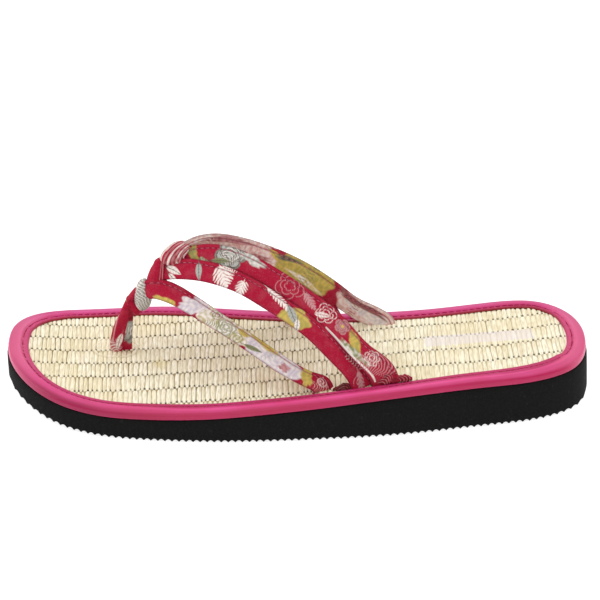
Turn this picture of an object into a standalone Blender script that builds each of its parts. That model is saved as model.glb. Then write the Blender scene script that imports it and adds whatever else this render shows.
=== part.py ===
"""Women's thong sandal, left foot: foam wedge sole, bound straw footbed, braided ribbon straps.

Frame: metres, +Z up, toe towards -X, heel towards +X, outer (lateral) side -Y, inner (medial)
side +Y.  The origin is the middle of the sole's box, on the floor.  Lengths below are in
millimetres and are scaled by MM when a mesh is made.
"""
import math

import bpy
import numpy as np

MM = 0.001
GAP = 0.3                     # clearance between pieces that touch on the real sandal

# --- sole: plan outline, clockwise from the toe seen from above -------------------------------
#          place                     x       y
OUTLINE = [("toe tip",            -129.9,    6.8),
           ("toe, outer",         -122.4,  -15.8),
           ("ball front, outer",  -103.0,  -33.5),
           ("ball, outer",         -70.0,  -42.8),
           ("widest, outer",       -32.0,  -44.7),
           ("waist front, outer",    8.0,  -42.8),
           ("waist, outer",         46.0,  -38.9),
           ("heel front, outer",    84.0,  -31.7),
           ("heel, outer",         109.0,  -25.6),
           ("heel corner, outer",  123.2,  -15.0),
           ("heel end",            129.5,    1.8),
           ("heel corner, inner",  123.6,   22.4),
           ("heel, inner",         109.0,   33.8),
           ("heel front, inner",    84.0,   32.8),
           ("waist rear, inner",    56.0,   27.8),
           ("waist, inner",         30.0,   27.6),
           ("arch, inner",           0.0,   32.3),
           ("ball rear, inner",    -32.0,   40.2),
           ("ball, inner",         -66.0,   44.7),
           ("ball front, inner",   -98.0,   41.0),
           ("toe, inner",         -121.6,   31.0)]

# --- sole: thickness of the black foam under the binding, along the foot ----------------------
#             x    foam
WEDGE = [(-130.0,   9.4),
         ( -95.0,   9.5),
         ( -62.0,   9.7),
         ( -38.0,  10.9),
         (   0.0,  14.2),
         (  30.0,  17.1),
         (  52.0,  18.7),
         (  75.0,  19.1),
         ( 130.0,  19.3)]

TOE_SPRING = 5.0              # rise of the toe tip off the floor
SPRING_START = -75.0          # x where the sole leaves the floor
SOLE_STATIONS = 58            # sections of the sole from toe to heel
#             inset  height above the tread
SOLE_EDGE = [(  0.9,   0.0),
             (  0.2,   0.7),
             (  0.0,   1.8)]

# --- binding: bound rim of the footbed, from the wall around the roll to the hem --------------
#                    inset  height above the foam
BINDING_ROLL = [(  0.6,   0.3),
                (  0.1,   1.1),
                (  0.3,   2.3),
                (  1.4,   3.3),
                (  3.2,   3.8),
                (  5.4,   3.7)]
HEM_TOP = 3.6                 # above the foam
HEM_BOTTOM = 3.1              # above the foam
WALL_INSET = 5.0              # inner face of the roll, under the hem
BINDING_STATIONS = 120
#              x     width of roll and hem together
HEM_WIDTH = [(-130.0, 10.2),
             (-112.0,  8.4),
             ( -85.0,  7.8),
             (  85.0,  7.8),
             ( 112.0,  8.2),
             ( 130.0,  8.8)]

# --- footbed --------------------------------------------------------------------------------
FOOTBED_INSET = 5.4
FOOTBED_BOTTOM = GAP          # above the foam
FOOTBED_TOP = 2.8             # above the foam

# --- straps -----------------------------------------------------------------------------------
RIBBON_WIDTH = 9.5
RIBBON_THICK = 2.0
RIBBON_STATIONS = 20
POST_STATIONS = 12
END_CROWDING = 0.09           # how far stations gather towards a strap's ends
SLEEVE_STATIONS = 8
SLOT_CLEARANCE = 0.35
SLOT_STATIONS = 7             # stations of a strap that its slot follows
SLOT_RUN = 3.0                # run of a slot's cutter past the strap's end

# Each ribbon runs from inside the braid to its slot.  cross and rise are the direction of the
# ribbon's width: its bearing in plan, and its slope.  width is a share of RIBBON_WIDTH.
#                x      y      z  cross  rise  width
RIBBONS = {
    "outer_front": [(-69.0,  10.0,  42.5,   95,   40, 0.75),
                    (-61.5,   6.5,  47.4,   80,   38, 0.95),
                    (-50.0,  -2.8,  46.2,   68,   26, 1.00),
                    (-37.0, -12.0,  42.4,   60,   14, 1.00),
                    (-22.0, -21.0,  36.5,   57,    8, 1.00),
                    ( -6.0, -28.2,  28.2,   57,    8, 1.00),
                    (  6.5, -30.8,  22.2,   57,    4, 0.94),
                    ( 11.8, -30.2,  19.0,   57,    0, 0.84),
                    ( 12.8, -29.9,  17.4,   57,    0, 0.80)],
    "outer_middle": [(-62.0,  11.6,  51.5,   95,   50, 0.75),
                     (-54.0,   8.0,  55.6,   92,   48, 0.95),
                     (-40.0,   1.0,  58.6,   80,   40, 1.00),
                     (-26.0,  -6.5,  57.9,   66,   32, 1.00),
                     ( -9.0, -15.8,  52.0,   56,   25, 1.00),
                     (  7.0, -24.0,  43.8,   48,   20, 1.00),
                     ( 19.0, -29.0,  32.8,   42,   12, 1.00),
                     ( 26.4, -30.0,  23.8,   38,    4, 0.92),
                     ( 28.8, -29.2,  19.0,   37,    0, 0.80)],
    "outer_rear": [(-55.0,  13.8,  57.5,   95,   55, 0.75),
                   (-46.0,  11.0,  61.0,   92,   50, 0.95),
                   (-32.0,   5.5,  64.0,   85,   46, 1.00),
                   (-16.0,  -2.4,  61.0,   72,   42, 1.00),
                   (  2.0, -11.4,  53.2,   60,   36, 1.00),
                   ( 18.0, -20.8,  43.6,   48,   28, 1.00),
                   ( 29.4, -27.4,  33.6,   38,   18, 1.00),
                   ( 38.2, -29.4,  25.6,   25,    6, 0.95),
                   ( 40.8, -28.8,  20.2,   18,    0, 0.85)],
    "inner_front": [(-69.0,  13.0,  43.0,  -95,   45, 0.75),
                    (-61.0,  16.5,  47.5,  -90,   60, 0.95),
                    (-48.0,  22.0,  48.0,  -90,   76, 1.00),
                    (-33.0,  25.6,  44.0,  -90,   84, 1.00),
                    (-17.0,  26.4,  34.5,  -60,   84, 1.00),
                    ( -5.5,  24.4,  23.5,   -5,   56, 0.94),
                    ( -1.6,  22.8,  17.4,   -6,   12, 0.82),
                    ( -1.0,  22.6,  15.2,   -8,    0, 0.80)],
    "inner_middle": [(-62.0,  14.5,  51.5,  -95,   50, 0.75),
                     (-52.0,  17.5,  55.5,  -90,   64, 0.95),
                     (-37.0,  22.0,  56.5,  -90,   80, 1.00),
                     (-20.0,  24.6,  51.2,  -90,   88, 1.00),
                     ( -3.0,  24.6,  41.0,  -60,   88, 1.00),
                     ( 10.5,  22.2,  29.0,   -5,   62, 0.96),
                     ( 16.4,  20.2,  21.0,   -6,   20, 0.84),
                     ( 17.4,  19.7,  17.2,   -6,    0, 0.80)],
    "inner_rear": [(-53.0,  14.8,  61.5, -100,   55, 0.75),
                   (-44.0,  16.6,  64.6,  -95,   66, 0.95),
                   (-30.0,  19.6,  61.8,  -90,   82, 1.00),
                   (-14.0,  21.8,  54.2,  -90,   98, 1.00),
                   (  3.0,  22.6,  44.4,  -90,  102, 1.00),
                   ( 19.0,  21.4,  32.4,  -50,   94, 1.06),
                   ( 31.5,  18.7,  25.5,    0,   62, 1.06),
                   ( 37.4,  17.9,  23.1,   -2,   34, 0.96),
                   ( 39.4,  17.7,  21.4,   -3,   10, 0.88),
                   ( 40.0,  17.5,  19.4,   -4,    0, 0.84)],
}

# The toe post: a ribbon folded on itself, flat between the toes.
#             x      y      z   width  thick
TOE_POST = [(-79.6,   9.2,   10.2,   9.0,   2.6),
            (-79.5,   9.2,   13.2,  10.2,   3.0),
            (-78.5,   9.4,   20.0,   8.7,   3.4),
            (-76.6,   9.8,   27.0,   6.6,   3.8),
            (-74.2,  10.4,   34.0,   5.4,   4.4),
            (-71.5,  11.0,   39.0,   5.2,   4.8)]

# The braid up the instep: three sleeves, each over the start of a pair of ribbons.
#            x1     y1     z1     x2     y2     z2   from    to
SLEEVES = [(-74.2,  10.6,  34.4, -65.8,  11.4,  44.4,  2.9,  4.9),
           (-67.2,  11.4,  43.4, -58.4,  12.8,  53.4,  3.4,  4.2),
           (-60.6,  12.6,  51.4, -50.4,  14.6,  62.0,  3.2,  4.2)]
SLEEVE_DEPTH = 1.2            # a sleeve is this much deeper across the foot than along it

#  node       colour (linear RGB)       roughness
FINISHES = {
    "outsole": ((0.012, 0.012, 0.012, 1.0), 0.85),
    "binding": ((0.62, 0.06, 0.20, 1.0), 0.40),
    "insole": ((0.80, 0.70, 0.48, 1.0), 0.75),
    "upper": ((0.45, 0.02, 0.07, 1.0), 0.80),
}


# --- curves -----------------------------------------------------------------------------------
def spline(knots, points, closed=False):
    """A cubic spline through points: natural at open ends, periodic when closed."""
    knots = np.asarray(knots, float)
    points = np.asarray(points, float)
    step = np.diff(knots)
    last = len(points) - 1
    matrix = np.zeros((last + 1, last + 1))
    right = np.zeros(points.shape)
    for i in range(1, last):
        matrix[i, i - 1:i + 2] = step[i - 1], 2 * (step[i - 1] + step[i]), step[i]
        rise = (points[i + 1] - points[i]) / step[i]
        right[i] = 6 * (rise - (points[i] - points[i - 1]) / step[i - 1])
    if closed:
        matrix[0, 0], matrix[0, last] = 1, -1
        matrix[last, [0, 1]] = 2 * step[0], step[0]
        matrix[last, [last - 1, last]] = step[-1], 2 * step[-1]
        rise = (points[1] - points[0]) / step[0]
        right[last] = 6 * (rise - (points[last] - points[last - 1]) / step[-1])
    else:
        matrix[0, 0] = matrix[last, last] = 1
    bend = np.linalg.solve(matrix, right)

    def at(t):
        t = np.asarray(t, float)
        i = np.clip(np.searchsorted(knots, t, side="right") - 1, 0, last - 1)
        a = ((knots[i + 1] - t) / step[i])[:, None]
        b = 1 - a
        sag = ((a**3 - a) * bend[i] + (b**3 - b) * bend[i + 1]) * (step[i]**2 / 6)[:, None]
        return a * points[i] + b * points[i + 1] + sag

    return at


def chord_knots(points):
    """Knots spaced by the distance between points, from 0 to 1."""
    run = np.concatenate([[0], np.cumsum(np.linalg.norm(np.diff(points, axis=0), axis=1))])
    return run / run[-1]


def smooth_path(rows, stations):
    """A table's rows as a spline, read at stations that lie closer near both ends."""
    rows = np.asarray(rows, float)
    share = np.linspace(0, 1, stations)
    share -= END_CROWDING * np.sin(2 * math.pi * share)
    return spline(chord_knots(rows[:, :3]), rows)(share)


# --- the sole's shape -------------------------------------------------------------------------
def sole_outline(count):
    """The plan outline as count points, and the unit normal that points inwards at each."""
    anchors = np.array([(x, y) for _, x, y in OUTLINE])
    anchors = np.vstack([anchors, anchors[:1]])
    curve = spline(chord_knots(anchors), anchors, closed=True)
    loop = curve(np.linspace(0, 1, count, endpoint=False))
    along = np.roll(loop, -1, axis=0) - np.roll(loop, 1, axis=0)
    along /= np.linalg.norm(along, axis=1)[:, None]
    return loop, np.column_stack([-along[:, 1], along[:, 0]])


def foam_thickness(x):
    """Thickness of the foam at x."""
    table = np.array(WEDGE)
    x = np.clip(x, table[0, 0], table[-1, 0])
    return spline(table[:, 0], table[:, 1:])(x)[:, 0]


def tread_height(x):
    """Height of the tread over the floor at x: flat, then a parabola up to the toe."""
    toe = OUTLINE[0][1]
    share = np.clip((SPRING_START - x) / (SPRING_START - toe), 0, None)
    return TOE_SPRING * share**2


def foam_top(x):
    """Height of the foam's upper face at x."""
    return tread_height(x) + foam_thickness(x)


def sole_ring(inset):
    """The outline moved in by inset, as pairs of outer and inner points that share an x."""
    loop, inward = sole_outline(1200)
    loop = loop + inward * inset
    toe, heel = np.argmin(loop[:, 0]), np.argmax(loop[:, 0])
    loop = np.roll(loop, -toe, axis=0)
    heel = (heel - toe) % len(loop)
    outer = loop[:heel + 1]
    inner = np.vstack([loop[heel:], loop[:1]])[::-1]
    turn = np.linspace(0, math.pi, SOLE_STATIONS)
    x = outer[0, 0] + (outer[-1, 0] - outer[0, 0]) * (1 - np.cos(turn)) / 2
    outer_y = np.interp(x, outer[:, 0], outer[:, 1])
    inner_y = np.interp(x, inner[:, 0], inner[:, 1])
    return x, outer_y, inner_y


# --- meshes -----------------------------------------------------------------------------------
def make_object(name, vertices, faces, collection):
    """A mesh object from points in millimetres."""
    mesh = bpy.data.meshes.new(name)
    mesh.from_pydata((np.asarray(vertices) * MM).tolist(), [], faces)
    mesh.validate()
    mesh.update()
    piece = bpy.data.objects.new(name, mesh)
    collection.objects.link(piece)
    return piece


def finish(piece):
    """Give a piece its material and smooth shading with crisp edges."""
    colour, roughness = FINISHES[piece.name]
    material = bpy.data.materials.new(piece.name)
    material.use_nodes = True
    shader = material.node_tree.nodes["Principled BSDF"]
    shader.inputs["Base Color"].default_value = colour
    shader.inputs["Roughness"].default_value = roughness
    shader.inputs["Metallic"].default_value = 0.0
    piece.data.materials.append(material)
    piece.data.shade_smooth()
    piece.data.set_sharp_from_angle(angle=math.radians(35))


def plate(name, levels, collection):
    """A closed plate with the sole's outline.

    levels are (inset, height function) from the bottom up.  Each level is a loop of stations
    down the outer side and back up the inner side; the first and last are closed by strips
    that run across the foot, so the faces follow the height exactly.
    """
    vertices = []
    for inset, height in levels:
        x, outer_y, inner_y = sole_ring(inset)
        z = height(x)
        outer = np.column_stack([x, outer_y, z])
        inner = np.column_stack([x, inner_y, z])[-2:0:-1]
        vertices.append(np.vstack([outer, inner]))
    count = len(vertices[0])
    faces = []
    for level in range(len(levels) - 1):
        low = level * count
        for i in range(count):
            j = (i + 1) % count
            faces.append((low + i, low + j, low + count + j, low + count + i))
    top = (len(levels) - 1) * count
    for i in range(SOLE_STATIONS - 1):
        ring = (i, i + 1, (count - i - 1) % count, (count - i) % count)
        strip = list(dict.fromkeys(ring))
        faces.append(tuple(reversed(strip)))
        faces.append(tuple(top + k for k in strip))
    return make_object(name, np.vstack(vertices), faces, collection)


def ribbon_section(width, thick):
    """A flat section with rounded edges: offsets along the width and along the normal."""
    half, flat = width / 2, width / 2 - 0.35 * thick
    deep = thick / 2
    return np.array([(-half, 0), (-flat, -0.85 * deep), (0, -deep), (flat, -0.85 * deep),
                     (half, 0), (flat, 0.85 * deep), (0, deep), (-flat, 0.85 * deep)])


def round_section(width, thick, sides=10):
    """An ellipse as offsets along the width and along the normal."""
    turn = -2 * math.pi * np.arange(sides) / sides
    return np.column_stack([-np.cos(turn) * width / 2, np.sin(turn) * thick / 2])


def sweep(name, centres, across, sections, collection):
    """A closed tube: each section lies square to the path, its width along across."""
    tangent = np.gradient(centres, axis=0)
    tangent /= np.linalg.norm(tangent, axis=1)[:, None]
    across = across - tangent * np.sum(across * tangent, axis=1)[:, None]
    across /= np.linalg.norm(across, axis=1)[:, None]
    normal = np.cross(tangent, across)
    rings = [c + s[:, :1] * a + s[:, 1:] * n
             for c, s, a, n in zip(centres, sections, across, normal)]
    sides = len(rings[0])
    faces = []
    for ring in range(len(rings) - 1):
        low = ring * sides
        for i in range(sides):
            j = (i + 1) % sides
            faces.append((low + i, low + j, low + sides + j, low + sides + i))
    last = (len(rings) - 1) * sides
    faces.append(tuple(reversed(range(sides))))
    faces.append(tuple(range(last, last + sides)))
    return make_object(name, np.vstack(rings), faces, collection)


def direction(bearing, rise):
    """Unit vectors from bearings in plan and slopes, both in degrees."""
    bearing, rise = np.radians(bearing), np.radians(rise)
    return np.column_stack([np.cos(bearing) * np.cos(rise), np.sin(bearing) * np.cos(rise),
                            np.sin(rise)])


def ribbon_route(rows):
    """A ribbon's centres, the directions of its width, and its sizes."""
    path = smooth_path(rows, RIBBON_STATIONS)
    sizes = [(RIBBON_WIDTH * share, RIBBON_THICK) for share in path[:, 5]]
    return path[:, :3], direction(path[:, 3], path[:, 4]), sizes


def post_route():
    """The toe post's route from the braid down to its slot, wide along the foot."""
    path = smooth_path(TOE_POST, POST_STATIONS)[::-1]
    return path[:, :3], np.tile((1.0, 0.0, 0.0), (len(path), 1)), path[:, 3:].tolist()


def strap(name, route, collection):
    """A flat strap with rounded edges along a route."""
    centres, across, sizes = route
    sections = [ribbon_section(width, thick) for width, thick in sizes]
    return sweep(name, centres, across, sections, collection)


def sleeve(name, row, collection):
    """One turn of the braid: a tube that swells towards its upper lip."""
    start, end, small, large = np.array(row[:3]), np.array(row[3:6]), row[6], row[7]
    share = np.linspace(0, 1, SLEEVE_STATIONS)[:, None]
    centres = start + (end - start) * share
    swell = small + (large - small) * np.sin(share[:, 0] * math.pi / 2)
    across = np.tile((0.0, 1.0, 0.0), (len(centres), 1))
    sections = [round_section(2 * SLEEVE_DEPTH * r, 2 * r) for r in swell]
    return sweep(name, centres, across, sections, collection)


def slot_cutter(name, path, across, sections, collection):
    """The last stretch of a strap, grown by the clearance and run on through the footbed."""
    ahead = path[-1] - path[-2]
    beyond = path[-1] + ahead / np.linalg.norm(ahead) * SLOT_RUN
    centres = np.vstack([path[-SLOT_STATIONS:], beyond])
    across = np.vstack([across[-SLOT_STATIONS:], across[-1:]])
    sizes = [ribbon_section(width + 2 * SLOT_CLEARANCE, thick + 2 * SLOT_CLEARANCE)
             for width, thick in sections[-SLOT_STATIONS:]]
    return sweep(name, centres, across, sizes + sizes[-1:], collection)


def hide(piece):
    """Mark a piece that only shapes others."""
    piece.hide_render = True
    piece.display_type = "WIRE"


def combine(piece, others, operation):
    """Join or cut a piece with other solids."""
    for other in others:
        step = piece.modifiers.new(other.name, "BOOLEAN")
        step.operation = operation
        step.object = other
        hide(other)


# --- the sandal -------------------------------------------------------------------------------
def build_outsole(collection):
    """Black foam wedge: flat tread, sprung toe, a slightly tucked lower edge."""
    levels = [(inset, lambda x, up=up: tread_height(x) + up) for inset, up in SOLE_EDGE]
    levels.append((0.0, foam_top))
    return plate("outsole", levels, collection)


def build_binding(collection):
    """The bound rim: one section carried round the outline."""
    loop, inward = sole_outline(BINDING_STATIONS)
    hem = np.interp(loop[:, 0], *np.transpose(HEM_WIDTH))
    section = BINDING_ROLL + [(hem, HEM_TOP), (hem, HEM_BOTTOM), (WALL_INSET, HEM_BOTTOM),
                              (WALL_INSET, GAP)]
    rings = []
    for inset, up in section:
        place = loop + inward * np.broadcast_to(inset, len(loop))[:, None]
        rings.append(np.column_stack([place, foam_top(place[:, 0]) + up]))
    rows, count = len(rings), BINDING_STATIONS
    faces = []
    for row in range(rows):
        low, high = row * count, ((row + 1) % rows) * count
        for i in range(count):
            j = (i + 1) % count
            faces.append((low + i, low + j, high + j, high + i))
    return make_object("binding", np.vstack(rings), faces, collection)


def build_insole(collection, cutters):
    """The straw footbed with a slot for the toe post and for each ribbon."""
    levels = [(FOOTBED_INSET, lambda x: foam_top(x) + FOOTBED_BOTTOM),
              (FOOTBED_INSET, lambda x: foam_top(x) + FOOTBED_TOP)]
    footbed = plate("insole", levels, collection)
    routes = {name: ribbon_route(rows) for name, rows in RIBBONS.items()}
    routes["toe_post"] = post_route()
    slots = [slot_cutter("slot_" + name, *route, cutters) for name, route in routes.items()]
    combine(footbed, slots, "DIFFERENCE")
    return footbed


def build_upper(collection, cutters):
    """Toe post, braid and six ribbons, joined into one solid where they cross."""
    upper = strap("upper", post_route(), collection)
    parts = [sleeve("sleeve_%d" % (i + 1), row, cutters) for i, row in enumerate(SLEEVES)]
    parts += [strap("ribbon_" + name, ribbon_route(rows), cutters)
              for name, rows in RIBBONS.items()]
    combine(upper, parts, "UNION")
    return upper


def main():
    for piece in list(bpy.data.objects):
        bpy.data.objects.remove(piece, do_unlink=True)
    sandal = bpy.data.collections.new("thong_sandal_left")
    cutters = bpy.data.collections.new("cutters")
    bpy.context.scene.collection.children.link(sandal)
    bpy.context.scene.collection.children.link(cutters)
    for piece in (build_outsole(sandal), build_binding(sandal), build_insole(sandal, cutters),
                  build_upper(sandal, cutters)):
        finish(piece)


main()
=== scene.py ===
"""Looks of a left thong sandal: foam wedge, bound straw footbed, braided printed ribbons.

Lengths in the tables are in millimetres and are scaled by MM when a mesh is made.  The toe
points to -X, the heel to +X, the foot's outer side to -Y and the floor is z = 0.
"""
import math

import bpy
import numpy as np
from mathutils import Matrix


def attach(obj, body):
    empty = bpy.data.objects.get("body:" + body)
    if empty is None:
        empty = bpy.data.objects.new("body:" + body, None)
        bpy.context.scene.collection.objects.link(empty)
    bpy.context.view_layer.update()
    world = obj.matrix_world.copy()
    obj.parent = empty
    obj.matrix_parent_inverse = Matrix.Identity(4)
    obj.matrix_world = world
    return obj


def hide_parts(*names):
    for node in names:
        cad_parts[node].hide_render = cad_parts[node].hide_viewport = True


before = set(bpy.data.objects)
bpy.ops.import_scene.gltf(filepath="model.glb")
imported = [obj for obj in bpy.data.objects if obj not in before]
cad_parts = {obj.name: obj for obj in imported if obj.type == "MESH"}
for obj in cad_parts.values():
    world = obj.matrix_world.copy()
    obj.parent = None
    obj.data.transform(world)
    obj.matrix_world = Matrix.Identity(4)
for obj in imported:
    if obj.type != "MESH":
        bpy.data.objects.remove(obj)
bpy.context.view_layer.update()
MM = 0.001

# --- Studio -------------------------------------------------------------------------------
# A pale seamless floor that glows a little, an even white surround, a large softbox overhead
# and weaker panels in front and past the toe and the heel.  The camera looks down across the
# foot's outer side.  These places and sizes are in metres.
CAMERA_PLACE = (0.00101, -1.32994, 0.89184)
CAMERA_TILT = 57.5
CAMERA_LENS = 213.98
SENSOR_WIDTH = 36.0
VIEW_DEPTH = 20.0
FLOOR_SIZE = 6.0
FLOOR_GREY = 0.48
FLOOR_GLOW = 0.80
SURROUND = 0.42
WHITE = (1.0, 1.0, 1.0)
#          name       x      y      z    size  power  colour
PANELS = [("top",    -0.2,   0.4,   1.9,  3.4,  32.4, (1.0, 0.99, 0.985)),
          ("front",   0.0,  -2.2,   1.3,  1.6,  16.0, WHITE),
          ("toe",    -1.8,   0.0,   0.8,  1.5,  15.0, WHITE),
          ("heel",    1.8,   0.2,   0.8,  1.5,  13.0, WHITE)]


def add_object(name, data):
    """An object linked to the scene."""
    item = bpy.data.objects.new(name, data)
    bpy.context.scene.collection.objects.link(item)
    return item


camera = add_object("camera", bpy.data.cameras.new("camera"))
camera.location = CAMERA_PLACE
camera.rotation_euler = (math.radians(CAMERA_TILT), 0.0, 0.0)
camera.data.lens = CAMERA_LENS
camera.data.sensor_width = SENSOR_WIDTH
camera.data.clip_end = VIEW_DEPTH
bpy.context.scene.camera = camera
bpy.context.scene.view_settings.view_transform = "Standard"

for name, x, y, z, size, power, colour in PANELS:
    panel = bpy.data.lights.new(name, "AREA")
    panel.shape, panel.size, panel.energy, panel.color = "SQUARE", size, power, colour
    lamp = add_object(name, panel)
    lamp.location = (x, y, z)
    aim = np.array((x, y, z)) / np.linalg.norm((x, y, z))
    lamp.rotation_euler = (math.acos(aim[2]), 0.0, math.atan2(aim[1], aim[0]) + math.pi / 2)

world = bpy.data.worlds.new("surround")
world.use_nodes = True
backdrop = world.node_tree.nodes["Background"]
backdrop.inputs["Color"].default_value = WHITE + (1.0,)
backdrop.inputs["Strength"].default_value = SURROUND
bpy.context.scene.world = world


class Value:
    """A shader socket that takes part in sums: each operator adds the node that works it out."""

    def __init__(self, paint, socket):
        self.paint, self.socket = paint, socket

    def math(self, operation, *others):
        values = dict(enumerate((self,) + others))
        return self.paint.node("ShaderNodeMath", {"operation": operation}, values)

    def __add__(self, other):
        return self.math("ADD", other)

    def __sub__(self, other):
        return self.math("SUBTRACT", other)

    def __mul__(self, other):
        return self.math("MULTIPLY", other)

    def __rsub__(self, other):
        return self.math("MULTIPLY", -1.0) + other

    __radd__, __rmul__ = __add__, __mul__

    def __abs__(self):
        return self.math("ABSOLUTE")

    def __pow__(self, other):
        return self.math("POWER", other)

    def step(self, low, high):
        """0 below low, 1 above high, an S-curve between; with low above high it falls."""
        settings = {"interpolation_type": "SMOOTHSTEP"}
        if low < high:
            return self.paint.node("ShaderNodeMapRange", settings, {0: self, 1: low, 2: high})
        return 1.0 - self.paint.node("ShaderNodeMapRange", settings, {0: self, 1: high, 2: low})


class Paint:
    """A material and its nodes."""

    def __init__(self, name, roughness, gloss=0.5):
        self.material = bpy.data.materials.new(name)
        self.material.use_nodes = True
        self.tree = self.material.node_tree
        self.shader = self.tree.nodes["Principled BSDF"]
        self.shader.inputs["Roughness"].default_value = roughness
        self.shader.inputs["Specular IOR Level"].default_value = gloss

    def feed(self, socket, value):
        """Link a value to a socket, or set the socket to a number, vector or colour."""
        if isinstance(value, Value):
            self.tree.links.new(value.socket, socket)
        elif socket.type == "RGBA":
            socket.default_value = tuple(value) + (1.0,)
        else:
            socket.default_value = value

    def node(self, kind, settings, sockets, output=0):
        """Any node: its type, settings, and socket values by name or number."""
        made = self.tree.nodes.new(kind)
        for key, value in settings.items():
            setattr(made, key, value)
        for key, value in sockets.items():
            self.feed(made.inputs[key], value)
        return Value(self, made.outputs[output])

    def mix(self, share, first, second, blend="MIX"):
        """A colour share of the way from the first to the second."""
        settings = {"data_type": "RGBA", "blend_type": blend}
        return self.node("ShaderNodeMix", settings, {0: share, 6: first, 7: second}, 2)

    def place(self):
        """Object coordinates, in metres."""
        return self.node("ShaderNodeTexCoord", {}, {}, "Object")

    def unrolled(self):
        """The piece's own two measures over its surface, from its UV map."""
        return self.node("ShaderNodeUVMap", {"uv_map": "UVMap"}, {})

    def tint_and_shade(self):
        """The colour laid point by point on the piece: its print, and its painted shade and
        highlights.
        """
        return self.node("ShaderNodeAttribute", {"attribute_name": "tint"}, {}, "Color")

    def axes(self, where):
        """The first and second measure of a place."""
        return [self.node("ShaderNodeSeparateXYZ", {}, {0: where}, k) for k in (0, 1)]

    def noise(self, where, scale, detail=2.0, rough=0.5):
        """Soft noise about 0.5, with that many lumps a metre."""
        sockets = {"Vector": where, "Scale": scale, "Detail": detail, "Roughness": rough}
        return self.node("ShaderNodeTexNoise", {}, sockets)

    def base(self, colour):
        """Give the surface its colour."""
        self.feed(self.shader.inputs["Base Color"], colour)

    def bump(self, height, depth):
        """Raise the surface by height times depth, in metres."""
        sockets = {"Height": height, "Distance": depth, "Strength": 1.0}
        self.feed(self.shader.inputs["Normal"], self.node("ShaderNodeBump", {}, sockets))


def make_mesh(name, points, loops, sizes=None, uv=None, colours=None):
    """A mesh object from points in millimetres and faces as runs of corner numbers.

    sizes holds each face's number of corners, four unless it is given; uv holds a pair for
    each corner, colours a linear colour for each point.
    """
    if sizes is None:
        sizes = [4] * (len(loops) // 4)
    mesh = bpy.data.meshes.new(name)
    mesh.vertices.add(len(points))
    mesh.vertices.foreach_set("co", (np.asarray(points) * MM).astype(np.float32).ravel())
    mesh.loops.add(len(loops))
    mesh.loops.foreach_set("vertex_index", np.asarray(loops, np.int32))
    mesh.polygons.add(len(sizes))
    starts = np.concatenate([[0], np.cumsum(sizes)[:-1]]).astype(np.int32)
    mesh.polygons.foreach_set("loop_start", starts)
    mesh.update(calc_edges=True)
    if uv is not None:
        mesh.uv_layers.new(name="UVMap").data.foreach_set("uv", uv.astype(np.float32).ravel())
    if colours is not None:
        tint = mesh.color_attributes.new("tint", "FLOAT_COLOR", "POINT")
        flat = np.column_stack([colours.reshape(-1, 3), np.ones(len(points))])
        tint.data.foreach_set("color", flat.astype(np.float32).ravel())
    mesh.validate()
    mesh.shade_smooth()
    return add_object(name, mesh)


floor_paint = Paint("floor", 0.9)
floor_paint.base((FLOOR_GREY, FLOOR_GREY, FLOOR_GREY))
floor_paint.feed(floor_paint.shader.inputs["Emission Color"], WHITE)
floor_paint.shader.inputs["Emission Strength"].default_value = FLOOR_GLOW
half = FLOOR_SIZE / 2 / MM
floor = make_mesh("floor", [(-half, -half, 0), (half, -half, 0), (half, half, 0),
                            (-half, half, 0)], range(4))
floor.data.materials.append(floor_paint.material)

# --- Foam sole ----------------------------------------------------------------------------
# A wedge of black closed-cell foam, cut to the foot's outline, thin under the toes and thick
# under the heel.  Fine rounded ribs are moulded across its underside.
#          x       y
OUTLINE = [(-129.6,   12.4), (-128.7,   -0.7), (-123.2,  -14.6), (-104.6,  -33.6),
           ( -70.0,  -42.8), ( -32.0,  -44.7), (   8.0,  -42.8), (  46.0,  -38.9),
           (  84.0,  -31.7), ( 109.0,  -25.6), ( 123.3,  -15.6), ( 128.4,    1.8),
           ( 123.5,   22.4), ( 109.0,   33.8), (  84.0,   32.8), (  56.0,   27.8),
           (  30.0,   27.6), (   0.0,   32.3), ( -32.0,   40.2), ( -66.0,   44.7),
           ( -98.0,   41.0), (-121.9,   31.2), (-127.8,   22.4)]
TOE, HEEL = min(x for x, _ in OUTLINE), max(x for x, _ in OUTLINE)
SIDE_SAMPLES = 2400
#            x    foam
WEDGE = [(-130.0,  9.4), (-95.0,  9.5), (-62.0,  9.7), (-38.0, 10.9), (0.0, 14.2),
         (30.0, 17.1), (52.0, 18.7), (75.0, 19.1), (130.0, 19.3)]
#             height  start
TOP_SPRING = (5.0,  -75.0)
TREAD_SPRING = (4.2,  -72.0)
RIB_PITCH = 3.09
RIB_DEPTH = 1.2
RIB_SAMPLES = 8
END_SHARE = 0.08
SLANT = 0.55
# The heel's back is cut squarer at its two corners: by how much, from which x and over what
# length, the heel's middle, and the corners' distance from it and breadth.
HEEL_CORNER = 0.4
CORNER_START, CORNER_RUN = 106.0, 14.0
HEEL_MIDDLE, CORNER_REACH, CORNER_BREADTH = 2.0, 19.0, 7.0
#              ends   sides  share of the wall's height
FOAM_WALL = [(-0.60, -1.45, 0.00), (-0.85, -1.75, 0.012), (-0.90, -1.85, 0.03),
             (-0.85, -1.60, 0.16), (-0.80, -1.00, 0.50), (-0.65, -0.35, 0.86),
             (-0.30,  0.20, 0.97), ( 0.50,  0.90, 1.00)]
EDGE_ANGLE = 40


def linear(red, green, blue):
    """A screen colour, 0 to 255, as linear light."""
    share = np.array((red, green, blue)) / 255.0
    return tuple(np.where(share <= 0.04045, share / 12.92, ((share + 0.055) / 1.055) ** 2.4))


def bell(distance, breadth):
    """A soft bump, exp(-(distance / breadth) squared): 1 at its middle, 0 well away."""
    return np.exp(-(distance / breadth)**2)


def ramp(value, start, end):
    """0 at start, 1 at end, straight between and level beyond; start may be the higher."""
    return np.clip((value - start) / (end - start), 0, 1)


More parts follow.
